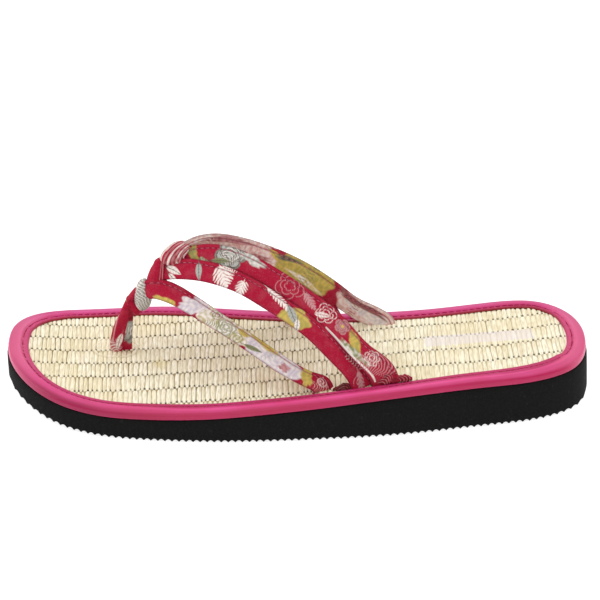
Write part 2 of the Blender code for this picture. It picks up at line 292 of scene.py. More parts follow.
def unit(vectors):
    """Rows of vectors, each divided by its length."""
    return vectors / np.linalg.norm(vectors, axis=1)[:, None]


def turned(x, y, turn):
    """The place (x, y) measured along and square to a direction turned by degrees."""
    c, s = math.cos(math.radians(turn)), math.sin(math.radians(turn))
    return x * c + y * s, y * c - x * s


def walked(points):
    """The distance along a path up to each of its points."""
    return np.concatenate([[0], np.cumsum(np.linalg.norm(np.diff(points, axis=0), axis=1))])


def spline(knots, points, closed=False):
    """A cubic spline through points: natural at open ends, periodic when closed.

    Between two knots the curve is the straight line between their points, plus at each end a
    cubic that bends it by that end's second derivative.
    """
    knots, points = np.asarray(knots, float), np.asarray(points, float)
    step, last = np.diff(knots), len(points) - 1
    inner = np.arange(1, last)
    matrix = np.zeros((last + 1, last + 1))
    matrix[inner, inner - 1], matrix[inner, inner + 1] = step[:-1], step[1:]
    matrix[inner, inner] = 2 * (step[:-1] + step[1:])
    slope = np.diff(points, axis=0) / step[:, None]
    right = np.zeros(points.shape)
    right[1:-1] = 6 * np.diff(slope, axis=0)
    if closed:
        matrix[0, 0], matrix[0, last] = 1, -1
        matrix[last, [0, 1]] = 2 * step[0], step[0]
        matrix[last, [last - 1, last]] = step[-1], 2 * step[-1]
        right[last] = 6 * (slope[0] - slope[-1])
    else:
        matrix[0, 0] = matrix[last, last] = 1
    bend = np.linalg.solve(matrix, right)

    def at(t):
        t = np.asarray(t, float)
        i = np.clip(np.searchsorted(knots, t, side="right") - 1, 0, last - 1)
        a = ((knots[i + 1] - t) / step[i])[:, None]
        b = 1 - a
        sag = ((a**3 - a) * bend[i] + (b**3 - b) * bend[i + 1]) * (step[i]**2 / 6)[:, None]
        return a * points[i] + b * points[i + 1] + sag

    return at


def smooth(rows, count, axes=3, closed=False):
    """A table's rows joined by a spline, at count even shares of the way along its path."""
    run = walked(rows[:, :axes])
    return spline(run / run[-1], rows, closed)(np.linspace(0, 1, count, endpoint=not closed))


def sole_outline(count):
    """The plan outline as count points, and the unit normal that points inwards at each."""
    loop = smooth(np.array(OUTLINE + OUTLINE[:1]), count, 2, True)
    along = unit(np.roll(loop, -1, axis=0) - np.roll(loop, 1, axis=0))
    return loop, np.column_stack([-along[:, 1], along[:, 0]])


def toe_rise(x, height, start):
    """How far the toe is raised at x: nothing before start, then a parabola up to the tip."""
    share = np.clip((start - x) / (start - TOE), 0, None)
    return height * share**2


def foam_top(x):
    """Height of the foam's upper face: the toe's rise plus the wedge's thickness."""
    x = np.asarray(x, float)
    table = np.array(WEDGE)
    inside = np.clip(x.ravel(), table[0, 0], table[-1, 0])
    thick = spline(table[:, 0], table[:, 1:])(inside)[:, 0].reshape(x.shape)
    return toe_rise(x, *TOP_SPRING) + thick


def sole_sides(ends, sides, x):
    """y of the outline's outer and inner side at each x, moved in by ends in x, sides in y."""
    loop, inward = sole_outline(SIDE_SAMPLES)
    loop = loop + inward * (ends, sides)
    loop = np.roll(loop, -np.argmin(loop[:, 0]), axis=0)
    heel = np.argmax(loop[:, 0])
    outer, inner = loop[:heel + 1], np.vstack([loop[heel:], loop[:1]])[::-1]
    return np.interp(x, outer[:, 0], outer[:, 1]), np.interp(x, inner[:, 0], inner[:, 1])


def foam_stations(inset):
    """x of the sole's sections, closer at toe and heel, squeezed in by inset."""
    low, high = TOE + inset, HEEL - inset
    count = int((HEEL - TOE) / RIB_PITCH * RIB_SAMPLES)
    share = np.linspace(0, 1, count)
    ends = (1 - np.cos(np.linspace(0, math.pi, count))) / 2
    edge = ramp(np.minimum(share, 1 - share), END_SHARE, 0)
    return low + (high - low) * (share + (ends - share) * edge**2)


def rib(x):
    """The tread's ribs: rounded grooves between narrow crests, the size of a sine."""
    return RIB_DEPTH * np.abs(np.sin(math.pi * x / RIB_PITCH))


def foam_side(x, y, share):
    """One side of the wall at that share of its height, slanted, with a squarer heel below."""
    low = toe_rise(x, *TREAD_SPRING) + rib(x)
    z = low + (foam_top(x) - low) * share
    corner = bell(np.abs(y - HEEL_MIDDLE) - CORNER_REACH, CORNER_BREADTH)
    corner *= ramp(x, CORNER_START, CORNER_START + CORNER_RUN)
    return np.column_stack([x + (1 - share) * (SLANT + HEEL_CORNER * corner), y, z])


def grid_faces(rows, columns, wrap_rows=False, wrap_columns=False):
    """Corner numbers of the quads of a grid, and each corner's place in the unwrapped grid."""
    i, j = np.meshgrid(np.arange(rows - (not wrap_rows)), np.arange(columns - (not wrap_columns)),
                       indexing="ij")
    i, j = i.ravel(), j.ravel()
    down = np.stack([i, i, i + 1, i + 1], 1).ravel()
    along = np.stack([j, j + 1, j + 1, j], 1).ravel()
    return (down % rows) * columns + along % columns, down, along


def finish(piece, paint, slot, *replaced):
    """Give a piece its material and its body, and hide the parts it replaces; slot is not used.
    """
    piece.data.materials.append(paint.material)
    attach(piece, "root")
    if replaced:
        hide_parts(*replaced)


levels = []
for ends, sides, share in FOAM_WALL:
    x = foam_stations(ends)
    outer, inner = (foam_side(x, y, share) for y in sole_sides(ends, sides, x))
    levels.append(np.concatenate([outer, inner[-2:0:-1]]))
stations, ring = len(x), len(levels[0])
walls, _, _ = grid_faces(len(levels), ring, wrap_columns=True)
# The underside and the top span from side to side, with a triangle at each tip.
near = np.arange(1, stations - 2)
across = np.stack([near, near + 1, ring - near - 1, ring - near], 1)
tips = np.array([[0, 1, ring - 1], [stations - 2, stations - 1, stations]])
top = (len(levels) - 1) * ring
foam_sole = make_mesh(
    "foam_sole", np.vstack(levels),
    np.concatenate([walls, across[:, ::-1].ravel(), (across + top).ravel(),
                    tips[:, ::-1].ravel(), (tips + top).ravel()]),
    [4] * (len(walls) // 4 + 2 * len(across)) + [3] * 4)
foam_sole.data.set_sharp_from_angle(angle=math.radians(EDGE_ANGLE))

foam = Paint("black_foam", 0.82, 0.10)
where = foam.place()
cells = foam.noise(where, 2600.0, 1.0)
dust = foam.noise(where, 420.0, 4.0, 0.7).step(0.60, 0.78)
black = foam.mix(cells.step(0.35, 0.75), linear(11, 12, 11), linear(24, 25, 24))
foam.base(foam.mix(dust * 0.30, black, linear(62, 62, 60)))
foam.bump(cells + foam.noise(where, 300.0) * 0.6, 0.00012)
finish(foam_sole, foam, "foam", "outsole")

# --- Binding ------------------------------------------------------------------------------
# Soft pink tape with a smooth face, folded over the footbed's edge and stitched down: a
# full roll outside the stitching and a narrow flat hem inside it.
#              x     outer  inner side's width
HEM_WIDTH = [(-130.0, 9.1, 9.1), (-118.0, 8.6, 8.1), (-105.0, 8.7, 7.0), (-80.0, 8.6, 7.2),
             (-20.0, 8.1, 7.8), (40.0, 7.8, 7.3), (85.0, 8.7, 6.9), (108.0, 9.9, 6.5),
             (122.0, 10.6, 6.7), (129.0, 8.5, 8.5)]
USUAL_WIDTH = 7.8
SEAM_SHARE = 0.71
#           share of width   mm    height
ROLL = [(0.00,  0.60,  0.02), (0.00,  0.10,  0.28), (0.00, -0.12,  0.80), (0.00, -0.10,  1.60),
        (0.00,  0.06,  2.50), (0.00,  0.50,  3.22), (0.12,  0.55,  3.72), (0.32,  0.60,  4.06),
        (SEAM_SHARE, -0.95,  4.02), (SEAM_SHARE, -0.38,  3.50), (SEAM_SHARE,  0.00,  3.22),
        (SEAM_SHARE,  0.40,  3.38), (SEAM_SHARE,  0.95,  3.56), (1.00, -0.90,  3.52),
        (1.00, -0.32,  3.36), (1.00,  0.00,  3.02), (1.00, -0.10,  2.72), (1.00, -0.80,  2.60)]
#             height  share   mm
UNDERSIDE = [(2.5,    0.0,   5.0), (0.3, 0.0, 5.0)]
ROLL_SAMPLES = 44
RIM_SAMPLES = 4000
BINDING_STATIONS = 1400
STITCH_PITCH = 3.1
# Heights of the dimples between stitches, of the rucks and the fuller tape round both ends,
# and of the long swells; how often the rucks and the swells come on the way round.
PUCKER, RUCK, CROWN, SWELL = 0.10, 0.09, 0.28, 0.07
RUCKS, SWELLS = (97, 61), 13
#                x   inset  slope  length  breadth  height
TAPE_CREASES = [( 99.0, 4.3,  0.055,  13.0,   0.50,  -0.26),
                (104.0, 3.1,  0.075,  11.0,   0.45,  -0.20),
                (111.0, 5.2,  0.100,   7.0,   0.40,  -0.18),
                (-96.0, 3.9, -0.030,   9.0,   0.50,  -0.14)]
# Painted shade and highlights: what each adds to the tape's red, green and blue, as a share of
# them.
SHADE_UNDER_EDGE = (-0.55, -0.98, -0.94)
PRICK_SHADE = (-0.45, -0.80, -0.70)
HEM_SHADE = (-0.14, -0.45, -0.26)
SHOULDER_HIGHLIGHT = (0.10, 0.30, 0.18)
LOW_SHADE = (-0.27, -0.90, -0.58)
LOW_TOE_SHADE = (-0.20, -0.04, -0.10)
FAR_SHEEN_HIGHLIGHT = (0.04, 0.60, 0.30)
CREASE_SHADE = (0.7, 1.8, 1.3)


def binding_place(share):
    """Outline points at those shares of the way round, with inward normals and hem widths."""
    loop, inward = sole_outline(RIM_SAMPLES)
    at = (share * RIM_SAMPLES).astype(int) % RIM_SAMPLES
    x, outer, inner = np.transpose(HEM_WIDTH)
    outer, inner = np.interp(loop[at, 0], x, outer), np.interp(loop[at, 0], x, inner)
    return loop[at], inward[at], outer + (inner - outer) * (1 - inward[at, 1]) / 2


def wave(phase, count, start=0.0):
    """A sine that goes up and down count times on the way round the rim."""
    return np.sin(2 * math.pi * count * phase + start)[:, None]


loop, inward, width = binding_place(np.linspace(0, 1, BINDING_STATIONS, endpoint=False))
run = walked(loop)
girth = run[-1] + np.linalg.norm(loop[0] - loop[-1])
stitches = round(girth / STITCH_PITCH)
phase = run / girth
section = np.array([(share * USUAL_WIDTH + mm, height, share, mm) for share, mm, height in ROLL])
section = smooth(section, ROLL_SAMPLES, 2)[:, 1:]
height, share, offset = np.vstack([section, UNDERSIDE]).T
inset = share * width[:, None] + offset
seam = SEAM_SHARE * width[:, None]
pull = wave(phase, stitches, math.pi / 2)
curve = ramp(np.abs(loop[:, :1]), 96, 122)
facing = inward[:, 1:]
lift = -PUCKER * pull * bell(inset - seam, 1.1)
rucks = wave(phase, RUCKS[0]) + wave(phase, RUCKS[1], 1.3)
lift += RUCK * curve * rucks * bell(share - 0.8, 0.2)
lift += SWELL * wave(phase, SWELLS, 0.7) * (share > 0.0)
lift += CROWN * curve * bell(share - SEAM_SHARE, 0.07)
creased = np.zeros(inset.shape)
for x, middle, slope, length, breadth, deep in TAPE_CREASES:
    along = loop[:, :1] - x
    creased += deep * bell(along, length) * bell(inset - middle - slope * along, breadth)
creased *= np.clip(facing * 3, 0, 1)
lift += creased
lift[:, -3:] = 0
place = loop[:, None, :] + inward[:, None, :] * inset[:, :, None]
points = np.dstack([place, foam_top(place[:, :, 0]) + height + lift])
loops, _, _ = grid_faces(*inset.shape, wrap_rows=True, wrap_columns=True)
loops = loops.reshape(-1, 4)[:, ::-1].ravel()

# Painted shade under the hem's inner edge on its far side, and in the seam's groove at the
# needle's holes.
edge = ramp(inset - width[:, None], -1.3, -0.5) * (height > 2.4) * np.clip(0.15 - facing, 0, 1)
prick_shade = bell(inset - seam, 0.5) * (height > 2.9) * np.clip(0.75 + facing, 0.25, 1)
prick_shade *= 0.10 + 0.90 * np.clip(pull * 1.6 - 0.5, 0, 1)
# Painted shade makes the hem darker than the roll, and the roll darkest low down on the outer
# side and round that side of the toe; painted highlights make it palest on its shoulder and far
# side.
toe = ramp(loop[:, :1], -50, -95)
outer = ramp(facing, 0.45, 0.95) * (1 - toe)
hem_shade = ramp(inset - seam + 2.3 * outer, 0, 0.5) * (height > 2.55)
hem_shade *= (1 - 0.6 * ramp(np.abs(loop[:, :1]), 112, 124)) * np.clip(facing + 1.2, 0.3, 1)
shoulder_highlight = bell(inset - seam + 1.5 + 1.6 * outer, 1.1 - 0.4 * outer) * (height > 3.0)
shoulder_highlight *= 1 + 1.6 * outer
outside = share < 0.25
low = np.maximum(ramp(height, 3.75, 3.15) * outside, ramp(inset, 2.9, 1.0) * toe)
low *= 1 - 0.35 * ramp(height, 0.9, 0.3) * outside
low *= np.clip(facing * (1.4 + 0.15 * toe) - 0.2, 0.12, 1)
far_sheen = ramp(inset - seam, 0, -1.5) * np.clip(-facing, 0, 1)
# Each group of painted shades and highlights multiplies the tape's colour; the creases' troughs
# get painted shade.
colours = np.ones(inset.shape + (3,))
for shades in ([(edge, SHADE_UNDER_EDGE)], [(prick_shade, PRICK_SHADE)], [(hem_shade, HEM_SHADE), (shoulder_highlight, SHOULDER_HIGHLIGHT)],
               [(far_sheen, FAR_SHEEN_HIGHLIGHT)], [(creased, CREASE_SHADE)], [(low, LOW_SHADE), (low * toe, LOW_TOE_SHADE)]):
    colours *= 1 + sum(mask[:, :, None] * np.array(shade) for mask, shade in shades)
bound_rim = make_mesh("bound_rim", points.reshape(-1, 3), loops, colours=colours)

tape = Paint("pink_tape", 0.36, 0.40)
where = tape.place()
pink = tape.mix(tape.noise(where, 45.0, 3.0).step(0.3, 0.7), linear(192, 46, 103),
                linear(201, 56, 119))
# Paler pink round the toe and heel ends: a painted sheen.
pink = tape.mix(abs(tape.axes(where)[0]).step(0.110, 0.128), pink, linear(208, 84, 128))
tape.base(tape.mix(1.0, pink, tape.tint_and_shade(), "MULTIPLY"))
tape.bump(tape.noise(where, 1900.0, 2.0), 0.00003)
finish(bound_rim, tape, "binding_tape", "binding")

# Stitching: one row of pink thread, a short round stitch in the groove between two dimples.
STITCH_LENGTH = 2.3
STITCH_HEIGHT = 3.40
THREAD = 0.27
THREAD_RINGS, THREAD_SIDES = 7, 6


def stitching(name, length, radius, origins, forward, side, up):
    """Round-ended threads in one mesh, each turned to its own three directions.

    A thread's radius falls to its ends as the square root of 1 - t to the fourth.
    """
    t = np.linspace(-0.985, 0.985, THREAD_RINGS)[:, None]
    turn = 2 * math.pi * np.arange(THREAD_SIDES) / THREAD_SIDES
    r = radius * np.sqrt(1 - t**4)
    shape = np.stack([t * length / 2 + 0 * turn, r * np.cos(turn), r * np.sin(turn)], 2)
    shape = shape.reshape(-1, 3)
    points = np.einsum("pk,nkc->npc", shape, np.stack([forward, side, up], 1))
    loops, _, _ = grid_faces(THREAD_RINGS, THREAD_SIDES, wrap_columns=True)
    cap = np.arange(THREAD_SIDES)
    one = np.concatenate([loops, cap[::-1], cap + (THREAD_RINGS - 1) * THREAD_SIDES])
    every = (one[None, :] + np.arange(len(origins))[:, None] * len(shape)).ravel()
    sizes = ([4] * (len(loops) // 4) + [THREAD_SIDES] * 2) * len(origins)
    return make_mesh(name, (points + origins[:, None, :]).reshape(-1, 3), every, sizes)


share = (np.arange(stitches) + 0.5) / stitches
at = np.interp(share * girth, run, np.arange(BINDING_STATIONS)) / BINDING_STATIONS
base, side, wide = binding_place(at)
place = base + side * (SEAM_SHARE * wide)[:, None]
origins = np.column_stack([place, foam_top(place[:, 0]) + STITCH_HEIGHT])
side = np.column_stack([side, np.zeros(len(side))])
up = np.tile((0.0, 0.0, 1.0), (len(side), 1))
rim_stitches = stitching("rim_stitches", STITCH_LENGTH, THREAD, origins, np.cross(side, up),
                         side, up)
thread = Paint("pink_thread", 0.8, 0.1)
thread.base(linear(150, 14, 62))
finish(rim_stitches, thread, "binding_tape")

# --- Straw mat ----------------------------------------------------------------------------
# Flattened straws run across the foot, over and under rows of hidden warp threads, so each
# row shows plump floats set half a step from the next, with a small dark hole between ends.
# The mat was stretched to the foot, so its rows bend and close up towards the heel.
MAT_TOP = 2.62
MAT_DEPTH = 2.2
MAT_INSET = 6.1
MAT_ENDS = (-123.8, 123.4)
FLOATS_SPAN = (-134.0, 141.0)
#                x     y
MAT_LINE = [(-140.0, -7.5), (-98.0, -3.3), (-66.0, -0.7), (-45.0, 0.5), (-23.0, 0.8),
            (20.0, 2.4), (57.0, 4.7), (80.0, 7.2), (94.0, 10.0), (112.0, 14.2), (140.0, 21.5)]
#            row    y
MAT_ROWS = [(-6, -70.0), (-5, -58.0), (-4, -46.0), (-3, -34.2), (-2, -22.2), (-1, -10.6),
            (0, 0.0), (1, 10.4), (2, 20.6), (3, 31.0), (4, 41.5), (5, 52.0), (8, 84.0)]
LEAN = 0.32
LEAN_ROUNDS = 6
TRACK_SAMPLES = 561
FIRST_ROW, LAST_ROW = -6, 8
FLOAT_WIDTH = (2.02, 2.24)
FLOAT_CHANCE = (0.72, 1.28)
FLOAT_HEIGHT = 0.50
PLUMPNESS = (0.75, 1.15)
STRAW_WOBBLE = (0.30, 0.42)
COLUMN_SAMPLES = 4
ROW_SAMPLES = 10
ROW_OFFSET = 0.03
# The oval where the post goes in: its middle, its half-lengths and its raised edge.
POST_BASE = (-82.0, 9.6)
POST_RIDGE = (9.4, 6.3)
RIDGE_HEIGHT = 0.85
RIDGE_BREADTH = 0.60
# Places and sizes on the mat in metres, as its paint reads them.
STAIN = (-0.0610, -0.0025)
STAIN_SPREAD = (0.0055, 0.0010)
# The painted shadow beside the post's oval and the painted highlight on its edge.
SHADOW_PLACE, SHADOW_SPREAD = 0.0007, (0.0007, 0.0003)
RIDGE_HIGHLIGHT_SPREAD = (0.0006, 0.0003)
STRIP = (0.0808, 0.0045)
STRIP_SIZE = (0.0490, 0.0080)
STRIP_EDGE = 0.0003
STRIP_TURN = 7.6


def mat_place(p, q, float_ends):
    """x and y of the mat's point p floats along and q rows across.

    Rows follow the mat's middle line, moved across the foot.  Floats lean with the line, so
    x is worked out by repeating x = reach - lean * slope(x) * y.
    """
    table = np.array(MAT_LINE)
    track = np.linspace(table[0, 0], table[-1, 0], TRACK_SAMPLES)
    line = spline(table[:, 0], table[:, 1:])(track)[:, 0]
    slope = np.gradient(line, track)
    reach = np.interp(p, np.arange(len(float_ends)) / 2, float_ends)
    x = reach
    for _ in range(LEAN_ROUNDS):
        y = np.interp(x, track, line) + np.interp(q, *np.transpose(MAT_ROWS))
        x = reach - LEAN * np.interp(x, track, slope) * y
    return x, y


def wobble(table, p, q):
    """Chances of a coarse grid joined smoothly: straight along p, an S-curve across q."""
    i, j = np.floor(2 * p).astype(int), np.floor(q).astype(int) - FIRST_ROW
    a, b = 2 * p - i, q - FIRST_ROW - j
    b = b**2 * (3 - 2 * b)
    first = table[i, j] * (1 - a) + table[i + 1, j] * a
    return first * (1 - b) + (table[i, j + 1] * (1 - a) + table[i + 1, j + 1] * a) * b


chance = np.random.default_rng(5)
span = FLOATS_SPAN[1] - FLOATS_SPAN[0]
halves = int(2 * span / np.mean(FLOAT_WIDTH))
steps = np.interp(np.linspace(*FLOATS_SPAN, halves), (-130, 130), FLOAT_WIDTH) / 2
steps *= chance.uniform(*FLOAT_CHANCE, halves)
float_ends = FLOATS_SPAN[0] + np.concatenate([[0], np.cumsum(steps)]) * span / steps.sum()
p, q = np.meshgrid(np.arange(0, halves / 2, 1 / COLUMN_SAMPLES),
                   np.arange(FIRST_ROW, LAST_ROW, 1 / ROW_SAMPLES) + ROW_OFFSET, indexing="ij")
x, y = mat_place(p, q, float_ends)
x_table, y_table = chance.uniform(-1, 1, (2, halves + 4, LAST_ROW - FIRST_ROW + 2))
x = x + STRAW_WOBBLE[0] * wobble(x_table, p, q)
y = y + STRAW_WOBBLE[1] * wobble(y_table, p, q)
# A float's height falls to its sides and, more sharply, to its ends; fx and fy run from 0 at
# its middle to 1 at its edge, and it narrows most towards its upper end.
row = np.floor(q)
place = p + 0.5 * (row % 2)
fx, fy = 2 * np.abs(place - np.floor(place) - 0.5), 2 * np.abs(q - row - 0.5)
plump = chance.uniform(*PLUMPNESS, (halves + 4, LAST_ROW - FIRST_ROW))
plump = plump[np.floor(place).astype(int), (row - FIRST_ROW).astype(int)]
waist = 1 - 0.25 * fy**5 - 0.45 * (2 * np.clip(q - row - 0.5, 0, None))**5
relief = FLOAT_HEIGHT * plump * np.sqrt(np.clip(1 - (fx / waist)**2.4, 0, 1)) * (1 - 0.8 * fy**8)
outer, inner = sole_sides(MAT_INSET, MAT_INSET, x)
keep = (y > outer) & (y < inner) & (x > MAT_ENDS[0]) & (x < MAT_ENDS[1])
# The mat's cut and sewn edge round the toe post shows as a low oval ridge.
beside = np.clip(np.abs(x - POST_BASE[0]) - (POST_RIDGE[0] - POST_RIDGE[1]), 0, None)
oval = np.hypot(beside, y - POST_BASE[1]) - POST_RIDGE[1]
relief = relief + RIDGE_HEIGHT * bell(oval, RIDGE_BREADTH)
z = foam_top(x) + MAT_TOP + relief - FLOAT_HEIGHT / 2
loops, down, along = grid_faces(*x.shape)
corners = loops.reshape(-1, 4)[:, ::-1]
inside = keep.ravel()[corners].all(axis=1)
uv = np.column_stack([p[down, along], q[down, along]]).reshape(-1, 4, 2)[inside, ::-1]
used, corners = np.unique(corners[inside], return_inverse=True)
points = np.column_stack([x.ravel(), y.ravel(), z.ravel()])[used]
straw_mat = make_mesh("straw_mat", points, corners.ravel(), uv=uv.reshape(-1, 2))
thick = straw_mat.modifiers.new("thickness", "SOLIDIFY")
thick.thickness, thick.offset = MAT_DEPTH * MM, -1.0

mat = Paint("straw", 0.62, 0.20)
where = mat.place()


def drawn(column, row, deck, output=0):
    """A chance from 0 to 1 that is the same all over one cell of the mat."""
    cell = mat.node("ShaderNodeCombineXYZ", {}, {0: column, 1: row, 2: deck})
    return mat.node("ShaderNodeTexWhiteNoise", {"noise_dimensions": "3D"}, {0: cell}, output)


p_at, q_at = mat.axes(mat.unrolled())
east, north = mat.axes(where)
row_no = q_at.math("FLOOR")
p_at = p_at + row_no.math("MODULO", 2.0).math("ABSOLUTE") * 0.5
column_no = p_at.math("FLOOR")
fx = abs(p_at - column_no - 0.5) * 2.0
fy = q_at - row_no - 0.5
luck = drawn(column_no, row_no, 0.5)
straw = mat.mix(luck, linear(254, 249, 230), linear(244, 236, 209))
straw = mat.mix(drawn(column_no, row_no, 0.5, 1).step(0.80, 0.95) * 0.5, straw,
                linear(243, 230, 216))
straw = mat.mix(mat.noise(where, 24.0, 2.0).step(0.42, 0.72) * 0.30, straw, linear(230, 206, 150))
streak_at = mat.node("ShaderNodeVectorMath", {"operation": "MULTIPLY"},
                     {0: where, 1: (1.0, 0.12, 1.0)})
streak = mat.noise(streak_at, 1900.0, 2.0)
straw = mat.mix(streak.step(0.40, 0.66) * 0.55, straw, linear(204, 188, 142))
# Painted shade in the gap between floats, darker by chance and closed up towards the heel;
# darker painted shade in its deepest slits; and painted shade in the hole at a float's end.
tip = fy.math("MAXIMUM", 0.0) ** 4.0 * 9.0 + abs(fy) ** 6.0 * 14.0 * luck
gap_luck = drawn((p_at + 0.5).math("FLOOR"), row_no, 4.5)
closed = 1.0 - east.step(-0.010, 0.060) * 0.32
straw = mat.mix((fx + tip).step(0.72, 1.0) * (gap_luck * 0.62 + 0.28) * closed, straw,
                linear(138, 116, 64))
straw = mat.mix(gap_luck.step(0.90, 0.97) * fx.step(0.78, 0.95) * 0.65, straw, linear(86, 76, 46))
hole = (fy * -1.0).step(0.34, 0.43) * fx.step(0.46, 0.76)
straw = mat.mix(hole * (gap_luck * 0.30 + 0.70), straw, linear(34, 27, 8))
# A stain near the post, the oval's painted shadow and a painted highlight on its edge, and
# the heel's strip, left blank: thin pale ink over the straw.
away = ((east - STAIN[0]) ** 2.0 + (north - STAIN[1]) ** 2.0).math("SQRT")
straw = mat.mix(away.step(*STAIN_SPREAD) * 0.30, straw, linear(214, 190, 96))
side = (abs(east - POST_BASE[0] * MM) - (POST_RIDGE[0] - POST_RIDGE[1]) * MM).math("MAXIMUM", 0.0)
rim = (side ** 2.0 + (north - POST_BASE[1] * MM) ** 2.0).math("SQRT") - POST_RIDGE[1] * MM
shadow = abs(rim - SHADOW_PLACE).step(*SHADOW_SPREAD)
straw = mat.mix(shadow * 0.28, straw, linear(176, 156, 104))
straw = mat.mix(abs(rim).step(*RIDGE_HIGHLIGHT_SPREAD) * 0.40, straw, linear(250, 243, 222))
run, rise = turned(east - STRIP[0], north - STRIP[1], STRIP_TURN)
blank = 1.0
for distance, size in zip((run, rise), STRIP_SIZE):
    blank = (abs(distance) - size / 2).step(STRIP_EDGE, -STRIP_EDGE) * blank
straw = mat.mix(blank * 0.55, straw, linear(232, 222, 224))
mat.base(straw)
mat.bump(streak, 0.00006)
finish(straw_mat, mat, "straw_mat", "insole")

# --- Ribbons ------------------------------------------------------------------------------
# Printed cotton sewn into flat tubes, turned right side out and stitched along one edge.
# Each runs from the braid to its slot at the footbed's edge, three down either side.  cross
# and rise turn its width: the bearing in plan, and the slope.
RIBBON_WIDTH = 9.5
RIBBON_DEPTH = 2.1
RIBBON_FULLNESS = 3.0
CLOTH_STEP, CLOTH_SIDES = 0.32, 76
HIDDEN_STEP, HIDDEN_SIDES = CLOTH_STEP / 0.6, 44
RIPPLE = 0.10
#            x      y     z cross rise width
RIBBONS = {
    "outer_front": [
        (-67.6,   7.8, 44.6,   95,  66, 0.60),
        (-66.8,   7.4, 45.1,   94,  65, 0.84),
        (-65.2,   6.6, 46.2,   90,  62, 0.95),
        (-61.0,   4.6, 47.2,   82,  46, 0.98),
        (-50.0,  -2.8, 46.2,   68,  26, 1.00),
        (-37.0, -12.0, 42.4,   60,  14, 1.00),
        (-22.0, -21.0, 36.5,   57,   8, 1.00),
        ( -6.0, -28.2, 28.2,   57,   8, 1.00),
        (  5.6, -30.6, 22.4,   50,   4, 1.00),
        ( 10.4, -31.4, 19.4,   30,   0, 1.08),
        ( 11.0, -31.6, 17.4,   20,   0, 1.10)],
    "outer_middle": [
        (-62.0,  11.6, 51.5,   95,  50, 0.75),
        (-54.0,   8.0, 55.6,   92,  48, 0.95),
        (-40.0,   1.0, 58.6,   80,  40, 1.00),
        (-26.0,  -6.5, 57.9,   66,  32, 1.00),
        ( -9.0, -15.8, 52.0,   56,  25, 1.00),
        (  7.0, -24.0, 43.8,   48,  20, 1.00),
        ( 19.0, -29.0, 32.8,   42,  12, 1.00),
        ( 26.0, -30.6, 24.6,   30,   4, 1.04),
        ( 29.2, -31.5, 19.2,   16,   0, 1.20)],
    "outer_rear": [
        (-55.0,  13.8, 57.5,   95,  55, 0.75),
        (-46.0,  11.0, 61.0,   92,  50, 0.95),
        (-32.0,   5.5, 64.0,   85,  46, 1.00),
        (-16.0,  -2.4, 61.0,   72,  42, 1.00),
        (  2.0, -11.4, 53.2,   60,  36, 1.00),
        ( 18.0, -20.8, 43.6,   48,  28, 1.02),
        ( 28.8, -27.4, 33.8,   36,  16, 1.08),
        ( 36.8, -30.2, 26.0,   20,   5, 1.30),
        ( 38.8, -30.6, 20.0,   13,   0, 1.36)],
    "inner_front": [
        (-69.0,  13.0, 43.0,  -95,  45, 0.75),
        (-61.0,  16.5, 47.5,  -90,  60, 0.95),
        (-48.0,  22.0, 48.0,  -90,  76, 1.00),
        (-33.0,  25.6, 44.0,  -90,  84, 1.00),
        (-17.0,  26.4, 34.5,  -60,  84, 1.00),
        ( -5.5,  24.4, 23.5,   -5,  56, 0.94),
        ( -1.6,  22.8, 17.4,   -6,  12, 0.82),
        ( -1.0,  22.6, 15.2,   -8,   0, 0.80)],
    "inner_middle": [
        (-62.0,  14.5, 51.5,  -95,  50, 0.75),
        (-52.0,  17.5, 55.5,  -90,  64, 0.95),
        (-37.0,  22.0, 56.5,  -90,  80, 1.00),
        (-20.0,  24.6, 51.2,  -90,  88, 1.00),
        ( -3.0,  24.6, 41.0,  -60,  88, 1.00),
        ( 10.5,  22.2, 29.0,   -5,  62, 0.96),
        ( 16.4,  20.2, 21.0,   -6,  20, 0.84),
        ( 17.4,  19.7, 17.2,   -6,   0, 0.80)],
    "inner_rear": [
        (-53.0,  14.8, 61.5, -100,  55, 0.75),
        (-44.0,  16.6, 64.6,  -95,  66, 0.95),
        (-30.0,  19.6, 61.8,  -90,  82, 1.00),
        (-14.0,  21.8, 54.2,  -90,  98, 1.02),
        (  3.0,  22.6, 44.2,  -90, 102, 1.04),
        ( 19.0,  21.4, 32.2,  -50,  94, 1.12),
        ( 31.5,  18.7, 25.2,    0,  62, 1.12),
        ( 37.4,  17.9, 22.9,   -2,  34, 0.98),
        ( 39.4,  17.7, 21.4,   -3,  10, 0.90),
        ( 40.0,  17.5, 19.4,   -4,   0, 0.84)],
}
